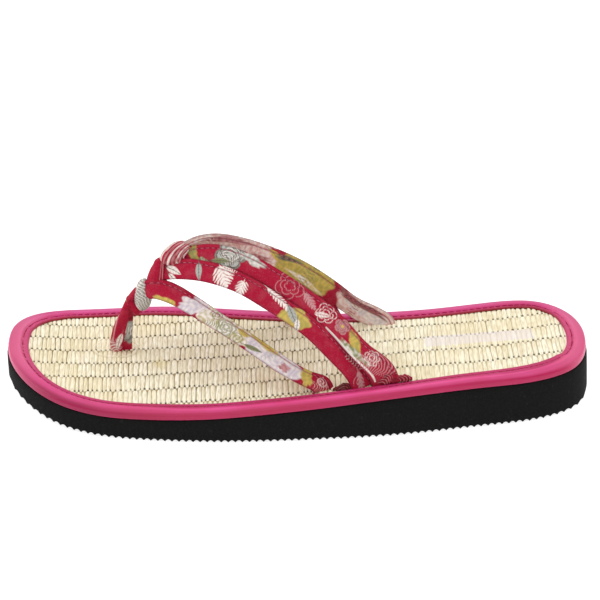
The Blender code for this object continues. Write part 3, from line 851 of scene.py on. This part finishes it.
# Soft folds: where along and across the ribbon, how long and broad, their turn in degrees, and
# height, which is below 0 for a trough.
#        along across  long broad turn height
FOLDS = {
    "outer_front": [
        ( 12.0, -2.0,  9.0, 1.6,  25, -0.35),
        ( 45.0,  0.5, 16.0, 1.8,   6,  0.22),
        ( 74.0, -1.0, 18.0, 1.5,  -5, -0.22),
        (100.0,  0.0,  8.0, 1.2,  35, -0.45)],
    "outer_middle": [
        ( 10.0,  1.0,  8.0, 1.2,  60, -0.45),
        ( 40.0, -1.0, 20.0, 1.8,   4,  0.22),
        ( 88.0,  1.0,  4.5, 0.9,  62, -0.55),
        ( 93.0, -2.0,  5.0, 1.1,  75,  0.30),
        (116.0,  1.0, 14.0, 1.2,  12, -0.35)],
    "outer_rear": [
        ( 14.0,  0.0, 10.0, 1.6,  12,  0.30),
        ( 60.0,  1.0, 22.0, 1.7,  -4, -0.20),
        (104.0, -1.0, 14.0, 1.0,  14, -0.35),
        (112.0,  2.0, 12.0, 1.0,  10, -0.30),
        (118.0,  0.0,  9.0, 0.9,  16,  0.35)],
    "inner_front": [
        ( 40.0,  0.0, 20.0, 1.8,   5, -0.25)],
    "inner_middle": [
        ( 50.0,  0.0, 20.0, 1.8,  -5, -0.25)],
    "inner_rear": [
        ( 30.0,  0.0,  5.0, 0.9,  60, -0.60),
        ( 34.0, -1.5,  6.0, 1.2,  40,  0.30),
        ( 78.0,  1.5, 20.0, 1.3,  -7, -0.35),
        ( 92.0, -1.0, 22.0, 1.2,  -8, -0.40),
        ( 96.0,  1.8, 16.0, 1.0,  -6,  0.30)],
}
SEAM_FROM_EDGE = 2.0
SEAM_DEPTH, SEAM_BREADTH = 0.30, 0.45
# Painted shade in the seam's groove and along the ribbon's edges.
SEAM_AND_EDGE_SHADE = linear(78, 22, 40)
CRIMSON = linear(161, 13, 48)
DEEP_RED = linear(112, 8, 30)
LAVENDER = linear(198, 186, 196)
PALE = linear(232, 222, 214)
GREY = linear(168, 170, 162)
OLIVE = linear(168, 152, 78)
OCHRE = linear(204, 176, 88)
SAGE = linear(126, 132, 88)
ROSE = linear(192, 138, 140)
BLUSH = linear(214, 166, 160)
CLAY = linear(150, 84, 84)
INK = linear(96, 84, 78)


def direction(bearing, rise):
    """Unit vectors from bearings in plan and slopes, both in degrees."""
    bearing, rise = np.radians(bearing), np.radians(rise)
    return np.column_stack([np.cos(bearing) * np.cos(rise), np.sin(bearing) * np.cos(rise),
                            np.sin(rise)])


def square_frame(centres, across):
    """At each station the width's direction made square to the path, and the face's normal."""
    tangent = unit(np.gradient(centres, axis=0))
    across = unit(across - tangent * np.sum(across * tangent, axis=1)[:, None])
    return across, np.cross(tangent, across)


def fold_height(folds, along, round_it):
    """Sum of long soft ridges and troughs, each a bell shape turned to its own direction."""
    total = np.zeros(along.shape)
    for where, across, length, breadth, turn, height in folds:
        x, y = turned(along - where, round_it - across, turn)
        total += height * bell(x, length) * bell(y, breadth)
    return total


class Print:
    """A ribbon's printed cloth, point by point, laid down one motif over another.

    u runs along the ribbon and s round it, in millimetres, with s = 0 down its face.
    """

    def __init__(self, u, s):
        self.u, self.s = u, s
        self.colour = np.broadcast_to(CRIMSON, u.shape + (3,)).copy()
        # Crossing waves that mottle a blotch's two colours.
        self.cloud = (np.sin(1.1 * u + 0.9 * s + 2 * np.sin(0.7 * s - 0.5 * u))
                      * np.sin(0.8 * s - 0.6 * u + 2 * np.sin(0.9 * u)))

    def lay(self, share, colour):
        """Cover the cloth so far with a colour, by its own share at each point."""
        self.colour += (np.asarray(colour) - self.colour) * np.clip(share, 0, 1)[..., None]

    def local(self, u, s, turn):
        """Distances from a motif's centre, along and square to its own direction."""
        return turned(self.u - u, self.s - s, turn)

    def line(self, distance, thick, colour, within=1.0):
        """A drawn line where the distance to its middle is under half its thickness."""
        self.lay(((thick / 2 - np.abs(distance)) / 0.22 + 0.5) * within, colour)

    def wash(self, u, s, length, breadth, turn, colour, second=None, lobes=5, wave=0.12):
        """A blotch with a wavy edge, clouded from one colour to a second one."""
        x, y = self.local(u, s, turn)
        x, y = x / length, y / breadth
        angle = np.arctan2(y, x)
        edge = 1 + wave * np.sin(lobes * angle + u) + wave / 2 * np.sin(2.3 * lobes * angle + s)
        share = np.clip((edge - np.hypot(x, y)) * min(length, breadth) / 0.5 + 0.5, 0, 1)
        self.lay(share, colour)
        if second is not None:
            self.lay(share * np.clip(0.45 + 0.75 * self.cloud, 0, 1) * 0.8, second)

    def leaf(self, u, s, length, breadth, turn, fill, ink, veins=6, slant=0.9):
        """A pointed leaf: its half-breadth is a sine of its length, with a midrib and veins."""
        x, y = self.local(u, s, turn)
        share = np.clip(x / length, 0, 1)
        edge = breadth / 2 * np.sin(math.pi * share**0.8)
        inside = np.clip((edge - np.abs(y)) / 0.3 + 0.5, 0, 1) * (x > 0) * (x < length)
        self.lay(inside, fill)
        phase = (x - slant * np.abs(y)) * veins / length
        self.line((phase - np.round(phase)) * length / veins, 0.20, ink, inside * 0.75)
        self.line(y, 0.30, ink, (x > -0.2 * length) * (x < 0.95 * length))

    def frond(self, u, s, length, breadth, turn, colour, leaflets=6):
        """A stalk with pointed leaflets swept forward on both sides."""
        x, y = self.local(u, s, turn)
        share = np.clip(x / length, 0, 1)
        reach = breadth / 2 * np.sin(math.pi * np.clip(0.10 + 0.90 * share, 0, 1))**0.6
        pitch = length / leaflets
        phase = (x - 0.85 * np.abs(y)) / pitch + 0.12 * np.sin(x * 2.1)
        middle = np.abs(phase - np.floor(phase) - 0.5) * pitch
        tip = np.abs(y) / np.maximum(reach, 0.01)
        blade = (0.46 * pitch * np.sqrt(np.clip(1 - tip**1.6, 0, 1)) - middle + 0.10) / 0.26
        inside = (x > 0) & (x < length) & (np.abs(y) < reach)
        self.lay(np.clip(blade, 0, 1) * inside, colour)
        self.line(y, 0.34, colour, (x > -length * 0.15) & (x < length))

    def flower(self, u, s, radius, petals, turn, ink, fill=None, heart=None):
        """A full flower in line: three rings of scallops, each turned from the one inside."""
        x, y = self.local(u, s, turn)
        r, angle = np.hypot(x, y), np.arctan2(y, x)
        for share, shift in ((1.0, 0.0), (0.68, 1.6), (0.38, 0.5)):
            bow = np.abs(np.cos((petals * angle + shift) / 2))**0.5
            edge = radius * share * (0.70 + 0.30 * bow + 0.05 * np.sin(3 * angle + u))
            if fill is not None:
                self.lay((edge - r) / 0.35 + 0.5, fill)
                self.lay(((edge - r) / 0.35 + 0.5) * (r > edge - 0.16 * radius) * 0.35, ink)
            self.line(r - edge, 0.30, ink)
        if heart is not None:
            self.lay((0.20 * radius - r) / 0.3 + 0.5, heart)

    def scroll(self, u, s, radius, pitch, turn, colour, thick=0.30):
        """A curling tendril: a spiral whose arm moves out by pitch on each turn."""
        x, y = self.local(u, s, turn)
        r, angle = np.hypot(x, y), np.arctan2(y, x) / (2 * math.pi)
        away = r / pitch - angle
        self.line((away - np.round(away)) * pitch, thick, colour, r < radius)

    def strokes(self, u, s, length, breadth, turn, colour, pitch=1.3, bow=0.3, thick=0.4):
        """A patch of bowed parallel strokes that thin out at its edge."""
        x, y = self.local(u, s, turn)
        phase = (x + bow * y * y) / pitch + 0.22 * np.sin(1.3 * y + 0.6 * x)
        inside = np.clip((1 - np.hypot(x / length, y / breadth)) * 3, 0, 1)
        self.line((phase - np.round(phase)) * pitch, thick * (0.3 + 0.7 * inside), colour,
                  inside > 0)


def print_outer_front(cloth):
    """Clouds of lavender and pale olive with sage flowers and scrolls, ochre at the edge."""
    cloth.wash(14, -5.6, 9, 2.6, -6, OCHRE, OLIVE)
    cloth.wash(27, -1.4, 7.5, 3.6, 12, LAVENDER, PALE, 3, 0.26)
    cloth.wash(31, 2.6, 6.0, 2.2, 0, LAVENDER, PALE, 3, 0.20)
    cloth.wash(46, 1.0, 15, 9, 0, PALE, OLIVE, 5, 0.10)
    cloth.scroll(38, 1.8, 3.0, 1.2, 0, INK)
    cloth.flower(45, -1.0, 4.4, 5, 20, SAGE, PALE)
    cloth.leaf(49, 2.2, 8, 3.0, -8, OCHRE, SAGE)
    cloth.scroll(52, -2.6, 3.4, 1.3, 90, SAGE)
    cloth.strokes(40, -2.6, 5, 1.8, 20, SAGE, 1.1)
    cloth.wash(70, -0.5, 15, 6.5, 0, LAVENDER, PALE, 3, 0.08)
    cloth.wash(62, 3.6, 9, 1.7, -8, OCHRE, OLIVE, 3, 0.12)
    cloth.leaf(56, -3.2, 9, 2.4, 12, SAGE, INK)
    cloth.strokes(68, 0.4, 6, 2.0, 60, GREY, 1.6, 0.1, 0.3)
    cloth.wash(76, -1.4, 2.3, 2.0, 15, ROSE, CLAY, 4, 0.2)
    cloth.wash(86.5, 0.6, 2.6, 5.5, 15, OCHRE, OLIVE, 5, 0.16)
    cloth.strokes(95, -1.0, 5.5, 4.0, 24, BLUSH, 1.4)
    cloth.scroll(93, 1.2, 2.2, 1.0, 40, PALE, 0.26)
    cloth.wash(100, -1.6, 2.6, 2.0, 0, OLIVE, OCHRE, 6, 0.12)


def print_outer_middle(cloth):
    """Pale leaves and fronds on the crimson, and one olive blotch."""
    cloth.leaf(5.5, 1.5, 9, 3.2, -28, PALE, INK, 5)
    cloth.leaf(6.5, -1.6, 8, 2.8, -52, PALE, INK, 5)
    cloth.leaf(21, 3.4, 9, 3.0, -72, GREY, INK, 6)
    cloth.frond(31, 3.8, 11, 10.0, -50, PALE, 6)
    cloth.strokes(35, 3.4, 4, 1.8, 10, PALE, 1.0)
    cloth.frond(44, 1.0, 7, 6, -80, PALE, 5)
    cloth.wash(72, -1.6, 6.8, 5.4, 30, OLIVE, OCHRE, 4, 0.12)
    cloth.frond(54, 4.2, 18, 4.0, -14, PALE, 11)
    cloth.leaf(66, 2.4, 11, 3.6, -34, GREY, INK, 6)
    cloth.leaf(73, -0.4, 7, 2.4, -60, PALE, INK, 5)
    cloth.strokes(104, 2.8, 6.0, 1.6, 10, PALE, 1.5, 0.5, 0.28)
    cloth.scroll(112, -0.8, 3.0, 1.7, 0, ROSE, 0.26)
    cloth.frond(108, 1.4, 12, 3.4, -20, ROSE, 7)


def print_outer_rear(cloth):
    """Grey, rose and pale flowers, with a rippled rose patch at the hem."""
    cloth.wash(10.5, 0.0, 2.2, 4.5, 10, OLIVE, SAGE, 4, 0.2)
    cloth.wash(15, -3.4, 3.0, 1.8, 0, SAGE, PALE, 3, 0.2)
    cloth.flower(28, 1.0, 7.2, 6, 12, INK, GREY)
    cloth.strokes(28, 1.0, 5.6, 4.5, 70, PALE, 1.4, 0.2, 0.34)
    cloth.wash(38, 2.6, 6, 2.0, -6, GREY, PALE, 4, 0.18)
    cloth.leaf(19, -3.0, 11, 2.2, 6, SAGE, INK, 7)
    cloth.flower(58, 1.0, 6.4, 5, 0, ROSE)
    cloth.frond(65, 2.0, 9, 4.4, -22, ROSE, 6)
    cloth.flower(78, 0.4, 4.6, 6, 30, PALE)
    cloth.leaf(74, -3.0, 8, 2.4, 30, PALE, CRIMSON, 6)
    cloth.flower(87, 1.2, 3.4, 5, 30, ROSE, CLAY, OCHRE)
    cloth.wash(95.5, 0.8, 2.2, 5.0, 66, OLIVE, OCHRE, 4, 0.08)
    cloth.wash(99, -2.8, 8, 1.5, 4, SAGE, PALE, 6, 0.14)
    cloth.line(cloth.s + 4.4, 0.8, PALE, (cloth.u > 82) & (cloth.u < 116))
    cloth.strokes(110, 1.2, 13, 5, 40, ROSE, 1.35, 0.16, 0.42)
    cloth.flower(106, 1.0, 3.4, 7, 30, PALE)
    cloth.wash(124, -1, 5, 6, 0, DEEP_RED, CRIMSON, 5, 0.1)


def print_inner_rear(cloth):
    """Blush clouds with clay streaks, and olive between them."""
    cloth.wash(21, 0, 28, 8.5, 0, BLUSH, PALE, 5, 0.10)
    cloth.wash(22, 2.4, 11, 1.6, 4, ROSE, CLAY, 3, 0.2)
    cloth.wash(36, -2.4, 9, 1.2, 8, CLAY, ROSE, 3, 0.2)
    cloth.strokes(30, -1, 12, 4, 20, ROSE, 2.3, 0.1, 0.30)
    cloth.strokes(12, 1, 6, 4, 74, PALE, 1.8, 0.1, 0.4)
    cloth.leaf(42, 3.6, 13, 3.0, -22, OCHRE, SAGE)
    cloth.wash(62, 0, 15, 7.5, 3, OLIVE, OCHRE, 4, 0.07)
    cloth.wash(52, 2.8, 6, 1.1, 8, INK, SAGE, 3, 0.16)
    cloth.wash(64, -2.8, 9, 1.2, -6, PALE, OCHRE, 4, 0.14)
    cloth.strokes(64, 0.4, 11, 3.4, 84, SAGE, 1.5, 0.02, 0.34)
    cloth.wash(101, 0, 21, 8.5, 0, BLUSH, PALE, 3, 0.06)
    cloth.wash(92, 2.8, 13, 1.8, -5, CLAY, INK, 4, 0.14)
    cloth.wash(98, -0.8, 13, 2.2, -9, PALE, LAVENDER, 3, 0.12)
    cloth.strokes(90, -2.6, 10, 2.0, 80, CLAY, 1.2, 0.02, 0.28)
    cloth.strokes(113, 0, 5, 5, 14, CLAY, 2.4, 0.02, 0.55)


def print_inner_plain(cloth):
    """A grey and a rose flower with fronds, an olive blotch between."""
    cloth.flower(26, 0, 5.2, 5, 0, INK, GREY)
    cloth.frond(36, 1, 12, 6, 14, PALE, 7)
    cloth.wash(64, 0, 10, 5, 10, OLIVE, OCHRE, 4, 0.12)
    cloth.leaf(60, 2, 12, 3.4, -12, PALE, INK)
    cloth.frond(76, -1, 12, 6, -12, PALE, 7)
    cloth.flower(96, 1, 4.6, 5, 20, ROSE)


def print_back(cloth, shift):
    """The back's motifs, moved along by shift; an even shift leans them the other way."""
    back = RIBBON_WIDTH
    lean = 1 if shift % 2 else -1
    cloth.flower(8 + shift, back, 4.6, 5, 12, ROSE)
    cloth.frond(17 + shift, back + lean, 11, 6.0, -14 * lean, PALE, 6)
    cloth.leaf(31 + shift, back - 1.5 * lean, 10, 3.2, 18 * lean, GREY, INK, 6)
    cloth.wash(46 + shift, back, 6.5, 3.6, 20, OLIVE, OCHRE, 4, 0.14)
    cloth.leaf(40 + shift, back + 1.5 * lean, 11, 2.8, -20 * lean, PALE, INK, 6)
    cloth.flower(61 + shift, back, 4.8, 6, 30, PALE)
    cloth.strokes(72 + shift, back, 6, 4, 60 * lean, ROSE, 1.3, 0.15, 0.3)
    cloth.frond(77 + shift, back - lean, 12, 5.4, 12 * lean, PALE, 7)
    cloth.wash(96 + shift, back, 5.5, 3.2, -15, LAVENDER, PALE, 3, 0.2)
    cloth.leaf(93 + shift, back + lean, 10, 2.6, -16 * lean, SAGE, INK, 6)


#         ribbon         face's print        shift of the back's
PRINTS = {"outer_front": (print_outer_front, 7), "outer_middle": (print_outer_middle, -12),
          "outer_rear": (print_outer_rear, 20), "inner_front": (print_inner_plain, -6),
          "inner_middle": (print_inner_plain, 15), "inner_rear": (print_inner_rear, -17)}

cotton = Paint("printed_cotton", 0.80, 0.14)
where = cotton.place()
thread_at = cotton.unrolled()
weave = cotton.noise(thread_at, 3.0, 2.0)
fade = cotton.noise(where, 260.0, 3.0)
slub = cotton.noise(thread_at, 1.5, 3.0, 0.7)
tint = cotton.mix(fade.step(0.42, 0.75) * 0.05, cotton.tint_and_shade(), linear(205, 170, 170))
tint = cotton.mix(slub.step(0.54, 0.76) * 0.34, tint, linear(58, 22, 26))
tint = cotton.mix(slub.step(0.46, 0.28) * 0.07, tint, linear(250, 214, 206))
tint = cotton.mix(weave.step(0.52, 0.78) * 0.22, tint, linear(52, 14, 24))
cotton.base(tint)
cotton.bump(weave + cotton.noise(where, 500.0, 2.0) * 0.8, 0.00010)


def cloth_tube(name, centres, across, half, deep, sides, fullness, folds, painter, back=None):
    """A flat tube of printed cloth along a path, with its folds and its print.

    Its section is y = (1 - |x| ** fullness) ** 0.5 on both faces, x running evenly round a
    circle.  The distance round is 0 down the middle of the face and half at its upper edge.
    A ribbon also has its back's print, moved by back, and a seam's groove along its face, with
    painted shade in the groove and along both edges.
    """
    across, normal = square_frame(centres, across)
    turn = 2 * math.pi * np.arange(sides + 1) / sides
    x = -np.cos(turn)
    y = -np.sign(np.round(np.sin(turn), 9)) * np.sqrt(1 - np.abs(x)**fullness)
    half = half[:, None]
    round_it = np.where(turn > math.pi, x * half, (2 - x) * half)
    along = np.repeat(walked(centres)[:, None], sides + 1, axis=1)
    x, y = x * half, y * deep[:, None] + fold_height(folds, along, round_it)
    y += RIPPLE * np.sin(along / 3.1 + 0.8 * np.sin(along / 11.0)) * np.cos(round_it / 2.3)
    cloth = Print(along, round_it)
    painter(cloth)
    if back is not None:
        groove = round_it - half + SEAM_FROM_EDGE
        y -= SEAM_DEPTH * bell(groove, SEAM_BREADTH)
        print_back(cloth, back)
        # Painted shade in the seam's groove and along both edges of the ribbon.
        cloth.lay(0.62 * bell(groove, 0.30), SEAM_AND_EDGE_SHADE)
        cloth.lay(0.50 * bell(half - np.abs(round_it), SEAM_BREADTH), SEAM_AND_EDGE_SHADE)
    points = (centres[:, None, :] + across[:, None, :] * x[:, :, None]
              + normal[:, None, :] * y[:, :, None])[:, :-1]
    loops, down, about = grid_faces(len(centres), sides, wrap_columns=True)
    uv = np.column_stack([along[down, about], round_it[down, about]])
    cap = np.arange(sides)
    loops = np.concatenate([loops, cap[::-1], cap + (len(centres) - 1) * sides])
    piece = make_mesh(name, points.reshape(-1, 3), loops,
                      [4] * (len(centres) - 1) * sides + [sides, sides],
                      np.vstack([uv, uv[:2 * sides] * 0]), cloth.colour[:, :-1])
    finish(piece, cotton, "printed_fabric")
    return piece, along[:, 0], across, normal


def laid(rows, step):
    """A table of places and sizes joined by a spline, with a row at about each step."""
    rows = np.array(rows, float)
    return smooth(rows, int(walked(rows[:, :3])[-1] / step))


stitch_lines = []
for name, rows in RIBBONS.items():
    hidden = name in ("inner_front", "inner_middle")
    path = laid(rows, HIDDEN_STEP if hidden else CLOTH_STEP)
    half = RIBBON_WIDTH * path[:, 5] / 2
    piece, along, across, normal = cloth_tube(
        "ribbon_" + name, path[:, :3], direction(path[:, 3], path[:, 4]), half,
        np.full(len(path), RIBBON_DEPTH / 2), HIDDEN_SIDES if hidden else CLOTH_SIDES,
        RIBBON_FULLNESS, FOLDS[name], *PRINTS[name])
    if name == "outer_front":
        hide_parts("upper")
    stitch_lines.append((name, path[:, :3], across, normal, half, along))

# Stitching down each ribbon's edge: small rose stitches in the groove of the seam.
RIBBON_STITCH = 1.7
RIBBON_THREAD = 0.14
RIBBON_STITCH_PITCH = 2.6
RIBBON_STITCH_ENDS = (4.0, 2.0)
RIBBON_STITCH_RISE = 0.06
threads = []
for name, centres, across, normal, half, along in stitch_lines:
    first, last = RIBBON_STITCH_ENDS
    at = np.arange(first, along[-1] - last, RIBBON_STITCH_PITCH)
    pick = np.searchsorted(along, at)
    tangent = unit(np.gradient(centres, axis=0)[pick])
    place = half[pick] - SEAM_FROM_EDGE
    deep = RIBBON_DEPTH / 2 * np.sqrt(1 - (place / half[pick])**RIBBON_FULLNESS)
    deep += fold_height(FOLDS[name], along[pick], place) - SEAM_DEPTH + RIBBON_STITCH_RISE
    origins = centres[pick] + across[pick] * place[:, None] + normal[pick] * deep[:, None]
    threads.append((origins, tangent, across[pick], normal[pick]))
ribbon_stitches = stitching("ribbon_stitches", RIBBON_STITCH, RIBBON_THREAD,
                            *[np.vstack(kind) for kind in zip(*threads)])
cord_thread = Paint("rose_thread", 0.7)
cord_thread.base(linear(190, 92, 114))
finish(ribbon_stitches, cord_thread, "printed_fabric")

# --- Braid --------------------------------------------------------------------------------
# The ribbons' front ends come together in a braid over the toe post.  Each pair goes in under
# a turn of padded cloth that is pulled narrow at its top, so creases fan out down it.
TOEWARDS = (-1.0, 0.0, 0.0)
LEAST_HALF = 0.3
TURN_FULLNESS = 2.2
TURN_STEP, TURN_SIDES = 0.22, 72
#             x      y      z   half  depth
TURNS = {
    "braid_low": [(-70.0,  10.4,  33.2, 0.6, 1.0), (-69.7,  10.2,  34.9, 2.6, 3.2),
                  (-69.1,  10.1,  37.8, 3.9, 4.5), (-68.9,  10.2,  41.5, 3.8, 4.9),
                  (-68.7,  10.6,  44.8, 3.0, 4.2), (-68.2,  10.9,  47.4, 1.9, 2.8),
                  (-67.8,  11.2,  48.6, 0.6, 1.0)],
    "braid_middle": [(-63.4,  11.4,  43.8, 1.6, 2.0), (-62.8,  11.5,  46.6, 4.2, 4.4),
                     (-62.4,  11.6,  49.4, 4.3, 5.0), (-61.9,  11.9,  52.4, 3.6, 4.7),
                     (-61.3,  12.2,  55.2, 2.8, 3.8), (-60.9,  12.5,  57.4, 2.1, 2.6),
                     (-60.7,  12.8,  58.6, 0.8, 1.2)],
    "braid_top": [(-55.0,  12.4,  55.4, 5.4, 1.4), (-54.9,  12.4,  56.6, 6.5, 2.8),
                  (-54.8,  12.5,  58.6, 6.2, 3.8), (-54.0,  12.8,  60.4, 5.5, 3.9),
                  (-52.9,  13.2,  61.9, 4.6, 3.6), (-51.0,  13.7,  63.0, 3.8, 3.0),
                  (-49.4,  14.2,  63.7, 2.8, 2.4), (-48.2,  14.6,  64.1, 1.2, 1.2)],
}
# Each turn's creases, in the same measures as the ribbons' folds.
TURN_FOLDS = {
    "braid_low": [(7.0,  0.6, 7.0, 0.50,   8, -0.35), (9.0, -1.6, 6.0, 0.60,  -6,  0.30)],
    "braid_middle": [(9.0, -1.2, 8.0, 0.45,  6, -0.55), (9.0, -2.3, 8.0, 0.45, 10,  0.45),
                     (9.0, -3.3, 8.0, 0.40, 12, -0.50), (8.0,  2.2, 7.0, 0.80, -8,  0.30)],
    "braid_top": [(5.0,  6.4, 7.0, 0.45, -14,  0.50), (5.0,  4.4, 7.0, 0.45, -11,  0.55),
                  (5.0,  3.3, 7.0, 0.40,  -8, -0.60), (5.0,  2.2, 7.0, 0.45,  -5,  0.60),
                  (5.0,  1.1, 7.0, 0.40,  -3, -0.60), (5.0,  0.0, 7.0, 0.45,   0,  0.60),
                  (5.0, -1.1, 7.0, 0.40,   3, -0.60), (5.0, -2.2, 7.0, 0.45,   5,  0.60),
                  (5.0, -3.3, 7.0, 0.40,   8, -0.60), (5.0, -4.4, 7.0, 0.45,  11,  0.50)],
}


def print_braid_low(cloth):
    """A broad grey leaf with fine dark and pale strokes."""
    cloth.wash(10, -0.4, 11, 4.6, 0, GREY, PALE, 4, 0.08)
    cloth.leaf(2.0, -0.4, 15, 8.0, -2, GREY, INK, 10)
    cloth.strokes(9, 0.0, 9, 5.0, 24, INK, 0.85, 0.1, 0.20)
    cloth.strokes(9, 0.0, 9, 5.0, -38, PALE, 1.3, 0.1, 0.34)


def print_braid_middle(cloth):
    """Thin rose lines along the crimson, and a pale line near one edge that is a painted
    highlight.
    """
    for s, turn, colour in ((-0.9, 4, ROSE), (-2.0, 8, ROSE), (4.2, -12, PALE)):
        x, y = cloth.local(9.0, s, turn)
        cloth.line(y, 0.28, colour, np.abs(x) < 6.0)


def print_braid_top(cloth):
    """Bands that close up along the turn, each at s = place * (1 - 0.05 u)."""
    spread = cloth.s / (1 - 0.05 * np.clip(cloth.u, 0, 14)) + 0.15 * np.sin(1.1 * cloth.u)
    for place, colour in ((9.1, ROSE), (7.0, PALE), (4.9, ROSE), (2.8, PALE), (0.7, ROSE),
                          (-1.4, PALE), (-3.5, ROSE), (-5.4, PALE)):
        cloth.line(spread - place, 1.15, colour)
        cloth.line(spread - place + 0.1, 0.18, CLAY)


BRAID_PRINTS = {"braid_low": print_braid_low, "braid_middle": print_braid_middle,
                "braid_top": print_braid_top}


def padded_turn(name, rows, folds, painter, fullness=TURN_FULLNESS):
    """A padded band that faces the foot's outer side, along a path of its own widths."""
    path = laid(rows, TURN_STEP)
    half, deep = np.maximum(path[:, 3:], LEAST_HALF).T
    cloth_tube(name, path[:, :3], np.tile(TOEWARDS, (len(path), 1)), half, deep, TURN_SIDES,
               fullness, folds, painter)


for name, rows in TURNS.items():
    padded_turn(name, rows, TURN_FOLDS[name], BRAID_PRINTS[name])

# --- Toe post -----------------------------------------------------------------------------
# A strip folded in two and twisted up into the braid: its front layer laps over the back one,
# and a narrow band holds both where they meet the first turn.
POST_FULLNESS = 2.6
#              x      y      z   half  depth
POST_FRONT = [(-81.3,   8.8,  11.0, 2.2, 0.9), (-81.3,   8.7,  13.6, 2.7, 1.2),
              (-80.9,   8.7,  18.0, 3.0, 1.4), (-80.0,   8.8,  22.6, 2.9, 1.6),
              (-78.6,   9.0,  27.6, 2.6, 1.8), (-77.3,   9.2,  31.6, 2.1, 2.0),
              (-76.0,   9.4,  35.6, 1.8, 2.1), (-74.0,   9.8,  40.0, 1.5, 2.0),
              (-71.6,  10.4,  43.6, 1.2, 1.6)]
POST_BACK = [(-77.5,  10.3,  10.6, 3.0, 0.9), (-77.5,  10.3,  13.4, 3.1, 1.0),
             (-77.2,  10.3,  18.0, 3.0, 1.2), (-76.5,  10.4,  24.0, 2.7, 1.5),
             (-75.6,  10.6,  30.0, 2.2, 1.8), (-74.4,  10.8,  35.0, 1.9, 2.0),
             (-72.0,  11.2,  40.0, 1.8, 2.0)]
POST_BAND = [(-75.6,   9.4,  39.6, 1.0, 2.4), (-74.4,   9.3,  37.4, 1.9, 2.9),
             (-72.8,   9.2,  35.2, 2.0, 3.1), (-71.4,   9.3,  33.6, 1.7, 2.8),
             (-70.6,   9.6,  32.8, 0.8, 1.6)]
POST_FOLDS = [(17.0,  1.4, 9.0, 0.6,  3,  0.25), (14.0, -1.2, 10.0, 0.7, -4, -0.30)]


def print_post_front(cloth):
    """A rose blotch at the foot, a pale leaf above and a line down one edge that is a painted
    highlight.
    """
    cloth.wash(3.5, 0.6, 5.0, 2.2, 0, ROSE, CRIMSON, 5, 0.3)
    cloth.leaf(11.5, -1.6, 9.5, 2.6, 172, PALE, CLAY, 4)
    cloth.strokes(3.5, 1.2, 3.5, 2, 20, PALE, 1.5, 0.3, 0.4)
    # A painted highlight down one edge.
    x, y = cloth.local(18, 2.4, 3)
    cloth.line(y, 0.5, ROSE, np.abs(x) < 12)


def print_post_back(cloth):
    """A grey blotch, then dark red."""
    cloth.wash(12, -0.8, 7.0, 2.8, 6, GREY, INK, 4, 0.16)
    cloth.strokes(12, -0.8, 6.0, 2.4, 80, PALE, 1.2, 0.0, 0.3)
    cloth.wash(25, 0, 8.0, 3.6, 0, DEEP_RED, CRIMSON, 4, 0.1)


def print_post_band(cloth):
    """Crimson with one ochre line."""
    cloth.wash(5, 0, 6, 4, 0, CRIMSON, DEEP_RED, 4, 0.1)
    cloth.line(cloth.s - 1.2, 0.32, OCHRE, cloth.s > 0)


padded_turn("post_front", POST_FRONT, POST_FOLDS, print_post_front, POST_FULLNESS)
padded_turn("post_back", POST_BACK, POST_FOLDS, print_post_back, POST_FULLNESS)
padded_turn("post_band", POST_BAND, [], print_post_band)

# --- Tucks at the rim ---------------------------------------------------------------------
# Spare cloth at the rear ribbons' ends is gathered up in small ruffles along the hem.
#             x      y      z   half  depth
TUCKS = {
    "tuck_rear": [(33.5, -30.6, 22.2, 1.2, 0.9), (36.5, -30.8, 22.8, 2.1, 1.6),
                  (41.0, -30.6, 23.1, 2.1, 1.8), (45.0, -30.3, 23.1, 1.7, 1.5),
                  (48.3, -30.0, 23.0, 1.5, 1.3), (50.2, -29.8, 22.8, 0.7, 0.7)],
    "tuck_middle": [(15.4, -32.6, 18.6, 0.5, 0.5), (17.4, -32.6, 19.2, 1.1, 1.0),
                    (20.5, -32.4, 20.0, 1.7, 1.3), (23.8, -32.0, 20.4, 1.3, 1.1)],
}
#               share  rate  start
TUCK_SWELLS = [(0.11, 1.45, 0.4), (0.07, 3.7, 1.7)]
TUCK_ACROSS = (0.0, 0.5, 0.5)
TUCK_STEP, TUCK_SIDES = 0.12, 48
TUCK_FOLDS = [( 3.0,  0.6, 5.0, 0.35,  8, -0.30), ( 9.0, -0.6, 6.0, 0.40, -6, -0.32),
              (13.0,  0.8, 5.0, 0.35, -9, -0.30), ( 8.0,  1.6, 6.0, 0.40,  5,  0.25)]


def print_tuck_rear(cloth):
    """Dark red, with rose strokes in the ruffles."""
    cloth.wash(3, 0, 30, 9, 0, DEEP_RED, CRIMSON, 4, 0.1)
    cloth.strokes(5, 0.6, 6, 3, 62, ROSE, 1.3, 0.2, 0.24)
    cloth.strokes(14, 0.2, 4, 3, 24, ROSE, 1.5, 0.3, 0.20)


def print_tuck_middle(cloth):
    """Brown-red, with clay strokes."""
    cloth.wash(3, 0, 30, 9, 0, linear(74, 26, 24), DEEP_RED, 4, 0.1)
    cloth.strokes(5, 0, 5, 4, 75, CLAY, 1.3, 0.2, 0.22)


TUCK_PRINTS = {"tuck_rear": print_tuck_rear, "tuck_middle": print_tuck_middle}

for name, rows in TUCKS.items():
    path = laid(rows, TUCK_STEP)
    run = np.linspace(0, walked(np.array(rows)[:, :3])[-1], len(path))
    swell = 1 + sum(share * np.sin(rate * run + start) for share, rate, start in TUCK_SWELLS)
    cloth_tube(name, path[:, :3], np.tile(TUCK_ACROSS, (len(path), 1)), path[:, 3] * swell,
               path[:, 4] * swell, TUCK_SIDES, TURN_FULLNESS, TUCK_FOLDS, TUCK_PRINTS[name])
